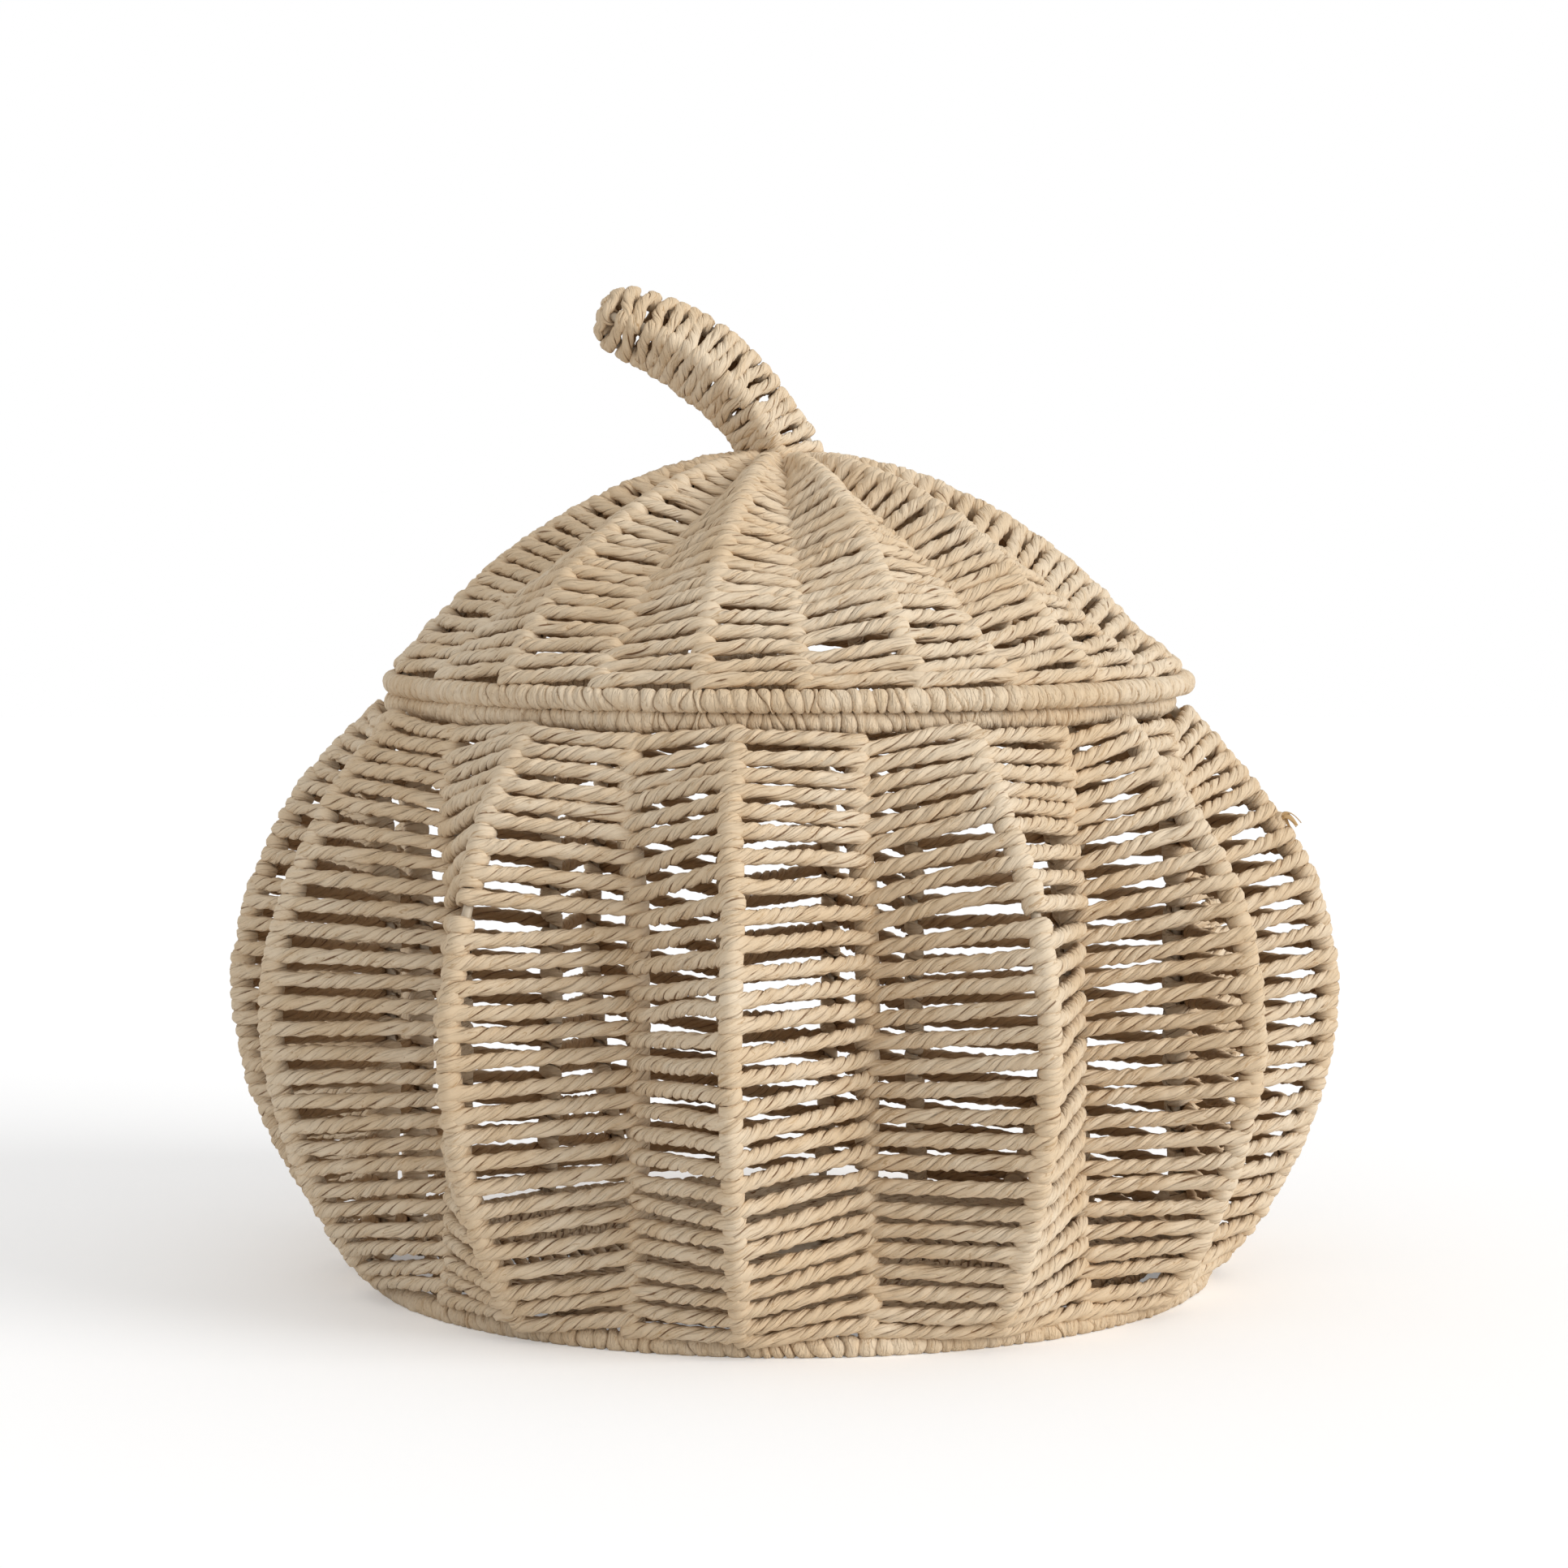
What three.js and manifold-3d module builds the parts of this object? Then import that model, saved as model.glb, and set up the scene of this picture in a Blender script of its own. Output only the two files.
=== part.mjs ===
// Lidded storage basket: paper cord woven over a wire frame of twelve ridges and
// twelve valleys, with a lift-off lid of the same make and a curved stem for a handle.
// Millimetres, +Z up. The origin is on the axis, on the floor the basket stands on.
// Azimuths are degrees from -Y towards +X, seen as the basket faces the viewer.

import * as THREE from 'three';
import { mergeVertices } from 'three/addons/utils/BufferGeometryUtils.js';
import Module from 'manifold-3d';

// Driving dimensions
const LOBES = 12;
const BODY_PHASE = -5.2;
const LID_PHASE = -12.5;

const WIRE_RADIUS = 1.5;
const WIRE_SIDES = 5;
const GAP = 0.35;
const RING_STEPS = 32;
const TUNNEL_RADIUS = (WIRE_RADIUS + GAP) / Math.cos(Math.PI / WIRE_SIDES);
const WELD_GAP = 0.4;
const WELD_REACH = WIRE_RADIUS + WELD_GAP;
const ROUND_STEPS = 24;

const BASE_RING = { radius: 133, height: 2.8, bound: 3.2 };
const BODY_RIM = { radius: 122.6, height: 184.1, bound: 2.9 };
const LID_RIM = { radius: 126, height: 190.2, bound: 3.6 };
const CROWN_RING = { radius: 11, height: 257.8 };

// Each binding runs round its ring's section from one lip to the other, in degrees from
// the outward side towards the top, and is open where the ribs come in
const BASE_BINDING_LIPS = [187, 353];
const BODY_BINDING_LIPS = [6, 230];
const LID_BINDING_LIPS = [197, 439];

// Wire outlines in the meridian plane, each point radius and height
const BODY_RIDGE = [
  [BASE_RING.radius, BASE_RING.height], [146.8, 18.8], [157.8, 39.5], [165.2, 60],
  [169.7, 90], [165.1, 120.2], [157, 140], [144.2, 159.9], [BODY_RIM.radius, BODY_RIM.height],
];
const BODY_VALLEY = [
  [BASE_RING.radius, BASE_RING.height], [130.5, 20], [128, 60], [127.5, 100],
  [127.8, 140], [126.5, 168], [BODY_RIM.radius, BODY_RIM.height],
];
const LID_RIDGE = [
  [LID_RIM.radius, LID_RIM.height], [109.1, 208.3], [91.3, 226], [69.5, 240.6],
  [43.2, 250.8], [23.6, 255.9], [CROWN_RING.radius, CROWN_RING.height],
];
const LID_VALLEY = [
  [LID_RIM.radius, LID_RIM.height], [116.5, 197.5], [97, 213.6], [75.4, 229.4],
  [43.2, 247.3], [23.6, 254.9], [CROWN_RING.radius, CROWN_RING.height],
];
const BODY_RIB_STEPS = 8;
const LID_RIB_STEPS = 5;

// Cord lying over the wires: how far it stands out and in, and how thick a strand is
const RIDGE_COVER = 5.5;
const RIDGE_SHOULDER = 5.3;
const VALLEY_COVER = 4.6;
const KNOT_DEPTH = 5;
const KNOT_HALF_WIDTH = 2.6;
const KNOT_REACH = 5.4;
const STRAND = 4.7;
const FULL_SPACING = 11.5;
const BINDING_GAP = 0.6;
const CROWN_CUT = 11.5;

// Floor
const SPOKE_HEIGHT = 4.4;
const SPOKE_END = BASE_RING.radius - 2.4;
const HUB_RADIUS = 10.5;
const SPOKE_START = HUB_RADIUS - 2;
const HUB_THICKNESS = 2;
const FLOOR_COVER = 3.7;
const FLOOR_INNER = 14;
const FLOOR_OUTER = 125.5;

// Crown wrap under the stem, its section as radius and height
const CROWN_WRAP_SECTION = [
  [13.4, 259.8], [21.8, 258.6], [21.8, 260], [17.8, 261.8], [14.4, 262.2], [13.4, 261.2],
];

// Stem: two hooped wires along a curved axis, and the cord wound round them
const STEM_AXIS = new THREE.CubicBezierCurve3(
  new THREE.Vector3(-2, 0, 257.8), new THREE.Vector3(-5.5, 0, 275),
  new THREE.Vector3(-26, 0, 295.5), new THREE.Vector3(-50.5, 0, 303.8),
);
const STEM_WIRE_OFFSET = 6.9;
const STEM_TIP_REACH = 7.6;
const STEM_TIP_NESTING = 3.6;
const HOOP_FOOT_RISE = 0.9;
const HOOP_LEG_SHARES = [0.13, 0.26, 0.4, 0.55, 0.7, 0.85, 1];
const HOOP_STEPS = 30;
const WINDING_LOOPS = 13;
const LOOP_STEPS = 16;
const WINDING_SIDES = 5;
const WINDING_RADIUS = 1.48;
const WINDING_OFFSET = 3.9;
const WINDING_START = 0.17;
const WINDING_END = 1;

// Colours of the paper cord and of the coated wire
const CORD_COLOUR = 0xd3c0a0;
const BINDING_COLOUR = 0xcdb995;
const WIRE_COLOUR = 0xc4b08c;

const wasm = await Module();
wasm.setup();

const basket = new THREE.Group();

function add(name, geometry, colour, roughness, metalness) {
  const material = new THREE.MeshStandardMaterial({ color: colour, roughness, metalness });
  const mesh = new THREE.Mesh(geometry, material);
  mesh.name = name;
  basket.add(mesh);
}

function addCord(name, geometry, colour = CORD_COLOUR) {
  add(name, geometry, colour, 0.85, 0);
}

function addWire(name, geometry) {
  add(name, geometry, WIRE_COLOUR, 0.5, 0.2);
}

const ridgeAzimuth = (index, phase) => phase + (360 / LOBES) * index;
const valleyAzimuth = (index, phase) => phase + (360 / LOBES) * (index + 0.5);

// A point of the meridian plane, turned to its azimuth
function place(radius, height, azimuth) {
  const angle = THREE.MathUtils.degToRad(azimuth);
  return new THREE.Vector3(radius * Math.sin(angle), -radius * Math.cos(angle), height);
}

function polygon(radius, sides) {
  return Array.from({ length: sides }, (_, i) => {
    const angle = (2 * Math.PI * i) / sides;
    return new THREE.Vector2(radius * Math.cos(angle), radius * Math.sin(angle));
  });
}

// Turns a closed mesh's faces outwards, told by the sign of its volume
function facingOut(positions, triangles) {
  let volume = 0;
  const corner = [new THREE.Vector3(), new THREE.Vector3(), new THREE.Vector3()];
  for (let i = 0; i < triangles.length; i += 3) {
    corner.forEach((point, k) => point.fromArray(positions, 3 * triangles[i + k]));
    volume += corner[0].dot(corner[1].cross(corner[2]));
  }
  const order = volume > 0 ? triangles : triangles.slice().reverse();
  const geometry = new THREE.BufferGeometry();
  geometry.setAttribute('position', new THREE.Float32BufferAttribute(positions, 3));
  geometry.setIndex(order);
  geometry.computeVertexNormals();
  return geometry;
}

function merged(geometry) {
  const bare = geometry.clone();
  bare.deleteAttribute('normal');
  bare.deleteAttribute('uv');
  return mergeVertices(bare, 1e-4);
}

function outward(geometry) {
  const bare = merged(geometry);
  return facingOut(Array.from(bare.attributes.position.array), Array.from(bare.index.array));
}

function toSolid(geometry) {
  const bare = merged(geometry);
  return new wasm.Manifold(new wasm.Mesh({
    numProp: 3,
    vertProperties: new Float32Array(bare.attributes.position.array),
    triVerts: new Uint32Array(bare.index.array),
  }));
}

function joined(geometries) {
  const mesh = geometries.map(toSolid).reduce((sum, solid) => sum.add(solid)).getMesh();
  return facingOut(Array.from(mesh.vertProperties), Array.from(mesh.triVerts));
}

// Rings and ribs

function wireRing({ radius, height }) {
  const section = polygon(WIRE_RADIUS, WIRE_SIDES).map((p) => new THREE.Vector2(radius + p.x, p.y));
  section.push(section[0].clone());
  const ring = new THREE.LatheGeometry(section, RING_STEPS);
  ring.rotateX(Math.PI / 2).translate(0, 0, height);
  return outward(ring);
}

// A bound tube round a ring wire, open from one lip to the other where the ribs come in
function ringBinding({ radius, height, bound }, [firstLip, lastLip], flatAt = null) {
  const outerPoints = 7;
  const innerPoints = 4;
  const arc = (reach, count, from, to) => Array.from({ length: count }, (_, i) => {
    const angle = THREE.MathUtils.degToRad(from + ((to - from) * i) / (count - 1));
    return new THREE.Vector2(radius + reach * Math.cos(angle), height + reach * Math.sin(angle));
  });
  const section = [
    ...arc(bound, outerPoints, firstLip, lastLip),
    ...arc(TUNNEL_RADIUS, innerPoints, lastLip, firstLip),
  ];
  if (flatAt !== null) {
    section.forEach((point) => { point.y = Math.max(point.y, flatAt); });
  }
  section.push(section[0].clone());
  const binding = new THREE.LatheGeometry(section, RING_STEPS);
  binding.rotateX(Math.PI / 2);
  return outward(binding);
}

// A rib's outline, cut short of the ring wires that it is welded to
function ribOutline(points, firstReach, lastReach) {
  const outline = points.map(([radius, height]) => new THREE.Vector3(radius, 0, height));
  const shorten = (end, next, reach) => {
    const step = next.clone().sub(end).setLength(reach);
    return end.clone().add(step);
  };
  const count = outline.length;
  const first = shorten(outline[0], outline[1], firstReach);
  const last = shorten(outline[count - 1], outline[count - 2], lastReach);
  outline[0] = first;
  outline[count - 1] = last;
  return outline;
}

function ribCurve(outline, azimuth) {
  return new THREE.CatmullRomCurve3(outline.map((p) => place(p.x, p.z, azimuth)));
}

function wireAlong(curve, steps) {
  const section = new THREE.Shape(polygon(WIRE_RADIUS, WIRE_SIDES));
  return outward(new THREE.ExtrudeGeometry(section, { steps, extrudePath: curve }));
}

// The lid's ribs meet their ring from inside, where its flat facets stand in by their sag
const facetSag = LID_RIM.radius * (1 - Math.cos(Math.PI / RING_STEPS));
const lidReach = WELD_REACH + facetSag;

const bodyRidge = ribOutline(BODY_RIDGE, WELD_REACH, WELD_REACH);
const bodyValley = ribOutline(BODY_VALLEY, WELD_REACH, WELD_REACH);
const lidRidge = ribOutline(LID_RIDGE, lidReach, WELD_REACH);
const lidValley = ribOutline(LID_VALLEY, lidReach, 0);

addWire('base_ring', wireRing(BASE_RING));
addWire('body_rim_ring', wireRing(BODY_RIM));
addWire('lid_rim_ring', wireRing(LID_RIM));
addCord('base_ring_binding', ringBinding(BASE_RING, BASE_BINDING_LIPS, 0), BINDING_COLOUR);
addCord('body_rim_binding', ringBinding(BODY_RIM, BODY_BINDING_LIPS), BINDING_COLOUR);
addCord('lid_rim_binding', ringBinding(LID_RIM, LID_BINDING_LIPS), BINDING_COLOUR);

for (let i = 0; i < LOBES; i += 1) {
  const number = String(i + 1).padStart(2, '0');
  const ridge = ribCurve(bodyRidge, ridgeAzimuth(i, BODY_PHASE));
  const valley = ribCurve(bodyValley, valleyAzimuth(i, BODY_PHASE));
  const lidRib = ribCurve(lidRidge, ridgeAzimuth(i, LID_PHASE));
  addWire(`body_ridge_rib_${number}`, wireAlong(ridge, BODY_RIB_STEPS));
  addWire(`body_valley_rib_${number}`, wireAlong(valley, BODY_RIB_STEPS));
  addWire(`lid_ridge_rib_${number}`, wireAlong(lidRib, LID_RIB_STEPS));
}

// The crown ring, with the twelve valley ribs of the lid welded to it
const lidValleyRibs = Array.from({ length: LOBES }, (_, i) => (
  wireAlong(ribCurve(lidValley, valleyAzimuth(i, LID_PHASE)), LID_RIB_STEPS)
));
addWire('lid_crown_and_valley_ribs', joined([wireRing(CROWN_RING), ...lidValleyRibs]));

// Weave: a shell lofted from level to level, with a tunnel round every wire

// Where a rib's straight stretches pass the levels of the weave
function levelsAlong(outline, steps, firstCut, lastCut) {
  const curve = new THREE.CatmullRomCurve3(outline);
  const points = curve.getSpacedPoints(steps);
  const directions = points.slice(1).map((point, i) => point.clone().sub(points[i]).normalize());
  const levels = points.map((point, i) => {
    const before = directions[Math.max(i - 1, 0)];
    const after = directions[Math.min(i, steps - 1)];
    return { centre: point.clone(), along: before.clone().add(after).normalize() };
  });
  levels[0].centre.addScaledVector(directions[0], firstCut);
  levels[steps].centre.addScaledVector(directions[steps - 1], -lastCut);
  return levels;
}

// The section's frame at one wire: its centre, the way round the basket and the way out
function frameAt({ centre, along }, azimuth) {
  const angle = THREE.MathUtils.degToRad(azimuth);
  return {
    angle,
    radius: centre.x,
    centre: place(centre.x, centre.z, azimuth),
    round: new THREE.Vector3(Math.cos(angle), Math.sin(angle), 0),
    out: place(along.z, -along.x, azimuth),
    along: place(along.x, along.z, azimuth),
  };
}

// One corner of a section, in space and on the flat plan used to close the ends
function cornerAt(frame, acrossBy, outBy) {
  const planRadius = 150;
  const planAngle = frame.angle + acrossBy / frame.radius;
  const point = frame.centre.clone()
    .addScaledVector(frame.round, acrossBy)
    .addScaledVector(frame.out, outBy);
  const reach = planRadius + outBy;
  return { point, plan: new THREE.Vector2(reach * Math.cos(planAngle), reach * Math.sin(planAngle)) };
}

// The panel from one wire to its neighbour, told in the first wire's frame
function panelFrom(frame, neighbour) {
  const towards = neighbour.centre.clone().sub(frame.centre).normalize();
  const face = towards.clone().cross(frame.along).normalize();
  if (face.dot(frame.out) < 0) {
    face.negate();
  }
  return {
    towardsRound: towards.dot(frame.round),
    towardsOut: towards.dot(frame.out),
    faceRound: face.dot(frame.round),
    faceOut: face.dot(frame.out),
  };
}

function sectionAt(frames, kinds, cover, knotDepth) {
  const outer = [];
  const inner = [];
  const holes = [];
  frames.forEach((frame, i) => {
    const left = panelFrom(frame, frames[(i + frames.length - 1) % frames.length]);
    const right = panelFrom(frame, frames[(i + 1) % frames.length]);
    const spacing = (2 * Math.PI * frame.radius) / frames.length;
    const squeeze = Math.min(1, spacing / FULL_SPACING);
    const ridge = kinds[i] === 'ridge';
    const shoulder = (panel) => cornerAt(
      frame,
      RIDGE_SHOULDER * panel.faceRound * squeeze,
      RIDGE_SHOULDER * panel.faceOut,
    );
    const underside = (panel) => {
      const rise = ridge ? RIDGE_SHOULDER - STRAND : cover * panel.faceOut - STRAND;
      return cornerAt(
        frame,
        (KNOT_REACH * panel.towardsRound + rise * panel.faceRound) * squeeze,
        KNOT_REACH * squeeze * panel.towardsOut + rise * panel.faceOut,
      );
    };
    if (ridge) {
      outer.push(shoulder(left), cornerAt(frame, 0, RIDGE_COVER), shoulder(right));
    } else {
      outer.push(cornerAt(frame, 0, cover));
    }
    if (kinds[i] === 'plain') {
      inner.push(cornerAt(frame, 0, cover - STRAND));
      return;
    }
    inner.push(underside(left));
    inner.push(cornerAt(frame, -KNOT_HALF_WIDTH * squeeze, -knotDepth));
    inner.push(cornerAt(frame, KNOT_HALF_WIDTH * squeeze, -knotDepth));
    inner.push(underside(right));
    holes.push(polygon(TUNNEL_RADIUS, WIRE_SIDES).map((p) => cornerAt(frame, p.y, p.x)));
  });
  return [outer, inner, ...holes];
}

// Lofts loops of corners through the levels and closes both ends
function loft(sections) {
  const positions = [];
  const triangles = [];
  const loops = sections[0].map((loop) => loop.length);
  const perLevel = loops.reduce((sum, count) => sum + count, 0);
  sections.forEach((section) => section.flat().forEach(({ point }) => positions.push(...point)));

  let first = 0;
  loops.forEach((count, loop) => {
    const flip = loop === 0 ? 1 : -1;
    for (let level = 0; level + 1 < sections.length; level += 1) {
      const base = level * perLevel + first;
      for (let i = 0; i < count; i += 1) {
        const a = base + i;
        const b = base + ((i + 1) % count);
        const quad = [a, b, b + perLevel, a, b + perLevel, a + perLevel];
        triangles.push(...(flip > 0 ? quad : quad.reverse()));
      }
    }
    first += count;
  });

  const closeEnd = (section, offset, facing) => {
    const plans = section.map((loop) => loop.map(({ plan }) => plan));
    const flat = plans.flat();
    const faces = THREE.ShapeUtils.triangulateShape(plans[0].slice(), plans.slice(1).map((p) => p.slice()));
    faces.forEach(([a, b, c]) => {
      const turn = (flat[b].x - flat[a].x) * (flat[c].y - flat[a].y)
        - (flat[b].y - flat[a].y) * (flat[c].x - flat[a].x);
      const face = turn * facing > 0 ? [a, b, c] : [a, c, b];
      triangles.push(...face.map((index) => index + offset));
    });
  };
  closeEnd(sections[0], 0, -1);
  closeEnd(sections[sections.length - 1], (sections.length - 1) * perLevel, 1);
  return facingOut(positions, triangles);
}

function flutedWeave(ridgeLevels, valleyLevels, phase) {
  const kinds = Array.from({ length: 2 * LOBES }, (_, i) => (i % 2 === 0 ? 'ridge' : 'valley'));
  const sections = ridgeLevels.map((ridgeLevel, level) => {
    const frames = kinds.map((kind, i) => {
      const azimuth = phase + (180 / LOBES) * i;
      return frameAt(kind === 'ridge' ? ridgeLevel : valleyLevels[level], azimuth);
    });
    return sectionAt(frames, kinds, VALLEY_COVER, KNOT_DEPTH);
  });
  return loft(sections);
}

// How far past a rib's end the weave starts, to stay clear of the bound ring
const clearOf = (ring) => ring.bound + BINDING_GAP - WELD_REACH;

addCord('body_wall_weave', flutedWeave(
  levelsAlong(bodyRidge, BODY_RIB_STEPS, clearOf(BASE_RING), clearOf(BODY_RIM)),
  levelsAlong(bodyValley, BODY_RIB_STEPS, clearOf(BASE_RING), clearOf(BODY_RIM)),
  BODY_PHASE,
));
addCord('lid_weave', flutedWeave(
  levelsAlong(lidRidge, LID_RIB_STEPS, clearOf(LID_RIM), CROWN_CUT),
  levelsAlong(lidValley, LID_RIB_STEPS, clearOf(LID_RIM), CROWN_CUT + WELD_REACH),
  LID_PHASE,
));

// Crown wrap: the first rounds of cord, lying on the ribs at the foot of the stem
const crownSection = [...CROWN_WRAP_SECTION, CROWN_WRAP_SECTION[0]];
const crownWrap = new THREE.LatheGeometry(
  crownSection.map(([radius, height]) => new THREE.Vector2(radius, height)),
  ROUND_STEPS,
);
addCord('crown_wrap', outward(crownWrap.rotateX(Math.PI / 2)));

// Floor: spokes welded to a hub disc, and cord woven round them
const spokes = Array.from({ length: LOBES }, (_, i) => {
  const azimuth = ridgeAzimuth(i, BODY_PHASE);
  const path = new THREE.LineCurve3(
    place(SPOKE_START, SPOKE_HEIGHT, azimuth),
    place(SPOKE_END, SPOKE_HEIGHT, azimuth),
  );
  return wireAlong(path, 1);
});
const hub = new THREE.CylinderGeometry(HUB_RADIUS, HUB_RADIUS, HUB_THICKNESS, ROUND_STEPS);
hub.rotateX(Math.PI / 2).translate(0, 0, SPOKE_HEIGHT);
addWire('floor_spokes_and_hub', joined([outward(hub), ...spokes]));

const floorKinds = Array.from({ length: 2 * LOBES }, (_, i) => (i % 2 === 0 ? 'spoke' : 'plain'));
const floorSections = [FLOOR_INNER, FLOOR_OUTER].map((radius) => {
  const level = {
    centre: new THREE.Vector3(radius, 0, SPOKE_HEIGHT),
    along: new THREE.Vector3(1, 0, 0),
  };
  const frames = floorKinds.map((_, i) => frameAt(level, BODY_PHASE + (180 / LOBES) * i));
  return sectionAt(frames, floorKinds, FLOOR_COVER, FLOOR_COVER);
});
addCord('floor_weave', loft(floorSections));

// Stem: each hoop runs up one side of the axis, over the tip and down the other
const stemSide = (quarter) => {
  const angle = (Math.PI / 2) * quarter;
  return { inPlane: Math.cos(angle), outOfPlane: Math.sin(angle) };
};

function stemFrame(t) {
  const along = STEM_AXIS.getTangentAt(t);
  const outOfPlane = new THREE.Vector3(0, -1, 0);
  const inPlane = outOfPlane.clone().cross(along).normalize();
  return { centre: STEM_AXIS.getPointAt(t), along, inPlane, outOfPlane };
}

// A leg stands on the crown ring and draws in to the stem's own width
function hoopLeg(quarter) {
  const side = stemSide(quarter);
  const foot = new THREE.Vector3(
    -side.inPlane * CROWN_RING.radius,
    -side.outOfPlane * CROWN_RING.radius,
    CROWN_RING.height + WELD_REACH + HOOP_FOOT_RISE,
  );
  const rise = HOOP_LEG_SHARES.map((t) => {
    const frame = stemFrame(t);
    return frame.centre
      .addScaledVector(frame.inPlane, side.inPlane * STEM_WIRE_OFFSET)
      .addScaledVector(frame.outOfPlane, side.outOfPlane * STEM_WIRE_OFFSET);
  });
  return [foot, ...rise];
}

function hoop(quarter, tipReach) {
  const tip = stemFrame(1);
  const side = stemSide(quarter);
  const overTip = [45, 90, 135].map((degrees) => {
    const angle = THREE.MathUtils.degToRad(degrees);
    const across = Math.cos(angle) * STEM_WIRE_OFFSET;
    return tip.centre.clone()
      .addScaledVector(tip.along, tipReach * Math.sin(angle))
      .addScaledVector(tip.inPlane, side.inPlane * across)
      .addScaledVector(tip.outOfPlane, side.outOfPlane * across);
  });
  const path = [...hoopLeg(quarter), ...overTip, ...hoopLeg(quarter + 2).reverse()];
  return wireAlong(new THREE.CatmullRomCurve3(path), HOOP_STEPS);
}

addWire('stem_hoop_side', hoop(0, STEM_TIP_REACH));
addWire('stem_hoop_front', hoop(1, STEM_TIP_REACH - STEM_TIP_NESTING));

// The cord's distance from the stem's axis as it passes round four wires:
// an arc over each wire, and a straight run from one to the next
function windingReach(angle) {
  const quarterTurn = Math.PI / 2;
  const fromWire = Math.abs(((angle + quarterTurn / 2) % quarterTurn) - quarterTurn / 2);
  const flatDistance = STEM_WIRE_OFFSET * Math.SQRT1_2 + WINDING_OFFSET;
  const arcEnd = Math.atan2(
    WINDING_OFFSET * Math.SQRT1_2,
    STEM_WIRE_OFFSET + WINDING_OFFSET * Math.SQRT1_2,
  );
  if (fromWire > arcEnd) {
    return flatDistance / Math.cos(quarterTurn / 2 - fromWire);
  }
  const chord = STEM_WIRE_OFFSET * Math.sin(fromWire);
  return STEM_WIRE_OFFSET * Math.cos(fromWire) + Math.sqrt(WINDING_OFFSET ** 2 - chord ** 2);
}

const windingPath = Array.from({ length: WINDING_LOOPS * LOOP_STEPS + 1 }, (_, i) => {
  const share = i / (WINDING_LOOPS * LOOP_STEPS);
  const angle = (2 * Math.PI * i) / LOOP_STEPS;
  const frame = stemFrame(WINDING_START + (WINDING_END - WINDING_START) * share);
  return frame.centre
    .addScaledVector(frame.inPlane, windingReach(angle) * Math.cos(angle))
    .addScaledVector(frame.outOfPlane, windingReach(angle) * Math.sin(angle));
});

// A round tube through the points, with a ring of corners at each
function tubeThrough(path, radius, sides) {
  const positions = [];
  const triangles = [];
  const last = path.length - 1;
  path.forEach((point, i) => {
    const along = path[Math.min(i + 1, last)].clone().sub(path[Math.max(i - 1, 0)]).normalize();
    const share = i / last;
    const axis = STEM_AXIS.getTangentAt(WINDING_START + (WINDING_END - WINDING_START) * share);
    const outwards = along.clone().cross(axis).normalize();
    const across = outwards.clone().cross(along);
    polygon(radius, sides).forEach(({ x, y }) => {
      const corner = point.clone().addScaledVector(outwards, x).addScaledVector(across, y);
      positions.push(...corner);
    });
  });
  for (let ring = 0; ring < last; ring += 1) {
    for (let i = 0; i < sides; i += 1) {
      const a = ring * sides + i;
      const b = ring * sides + ((i + 1) % sides);
      triangles.push(a, b, b + sides, a, b + sides, a + sides);
    }
  }
  for (let i = 1; i + 1 < sides; i += 1) {
    triangles.push(0, i + 1, i);
    triangles.push(last * sides, last * sides + i, last * sides + i + 1);
  }
  return facingOut(positions, triangles);
}

// Least gap of the winding to itself, from points half a loop and more apart
let leastGap = Infinity;
windingPath.forEach((point, i) => {
  windingPath.slice(i + LOOP_STEPS / 2).forEach((other) => {
    leastGap = Math.min(leastGap, point.distanceTo(other) - 2 * WINDING_RADIUS);
  });
});
console.log(`stem_winding: least gap between turns ${leastGap.toFixed(2)} mm`);

addCord('stem_winding', tubeThrough(windingPath, WINDING_RADIUS, WINDING_SIDES));

export default basket;
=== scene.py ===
import math

import bpy
import numpy as np
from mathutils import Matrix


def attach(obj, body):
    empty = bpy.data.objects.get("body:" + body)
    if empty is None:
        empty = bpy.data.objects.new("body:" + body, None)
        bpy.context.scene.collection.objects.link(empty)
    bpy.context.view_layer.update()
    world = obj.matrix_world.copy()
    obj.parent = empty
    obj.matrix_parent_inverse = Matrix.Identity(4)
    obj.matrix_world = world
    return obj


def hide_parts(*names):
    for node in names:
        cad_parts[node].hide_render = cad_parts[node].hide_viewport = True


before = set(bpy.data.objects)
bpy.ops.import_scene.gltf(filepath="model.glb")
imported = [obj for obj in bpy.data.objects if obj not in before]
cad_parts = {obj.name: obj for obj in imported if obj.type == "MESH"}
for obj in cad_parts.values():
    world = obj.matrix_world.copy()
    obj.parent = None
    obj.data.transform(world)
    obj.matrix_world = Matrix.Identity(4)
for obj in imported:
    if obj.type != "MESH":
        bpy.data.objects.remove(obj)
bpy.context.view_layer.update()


# Body frame wires
# Steel wire with a thin beige coating: twelve ribs bent to the bulging ridges and twelve nearly
# straight ones between them, welded to a ring at the foot and to one round the mouth.
# Sizes are in millimetres and angles in degrees; only the studio at the end is in metres.
MM = 0.001
LOBES = 12
WIRES = 2 * LOBES
BODY_PHASE = -5.2
WIRE_RADIUS = 1.5
WIRE_SIDES = 10
WIRE_STEP = 3.0
RING_SIDES = 160
BASE_RING = (133.0, 2.8)
BODY_RIM = (122.6, 184.1)
BODY_RIDGE = [
    BASE_RING, (146.8, 18.8), (157.8, 39.5), (165.2, 60), (169.7, 90), (165.1, 120.2),
    (157, 140), (144.2, 159.9), BODY_RIM,
]
BODY_VALLEY = [
    BASE_RING, (130.5, 20), (128, 60), (127.5, 100), (127.8, 140), (126.5, 168), BODY_RIM,
]
WIRE_PALE = (0.66, 0.57, 0.44, 1)
WIRE_TAN = (0.50, 0.40, 0.28, 1)
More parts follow.
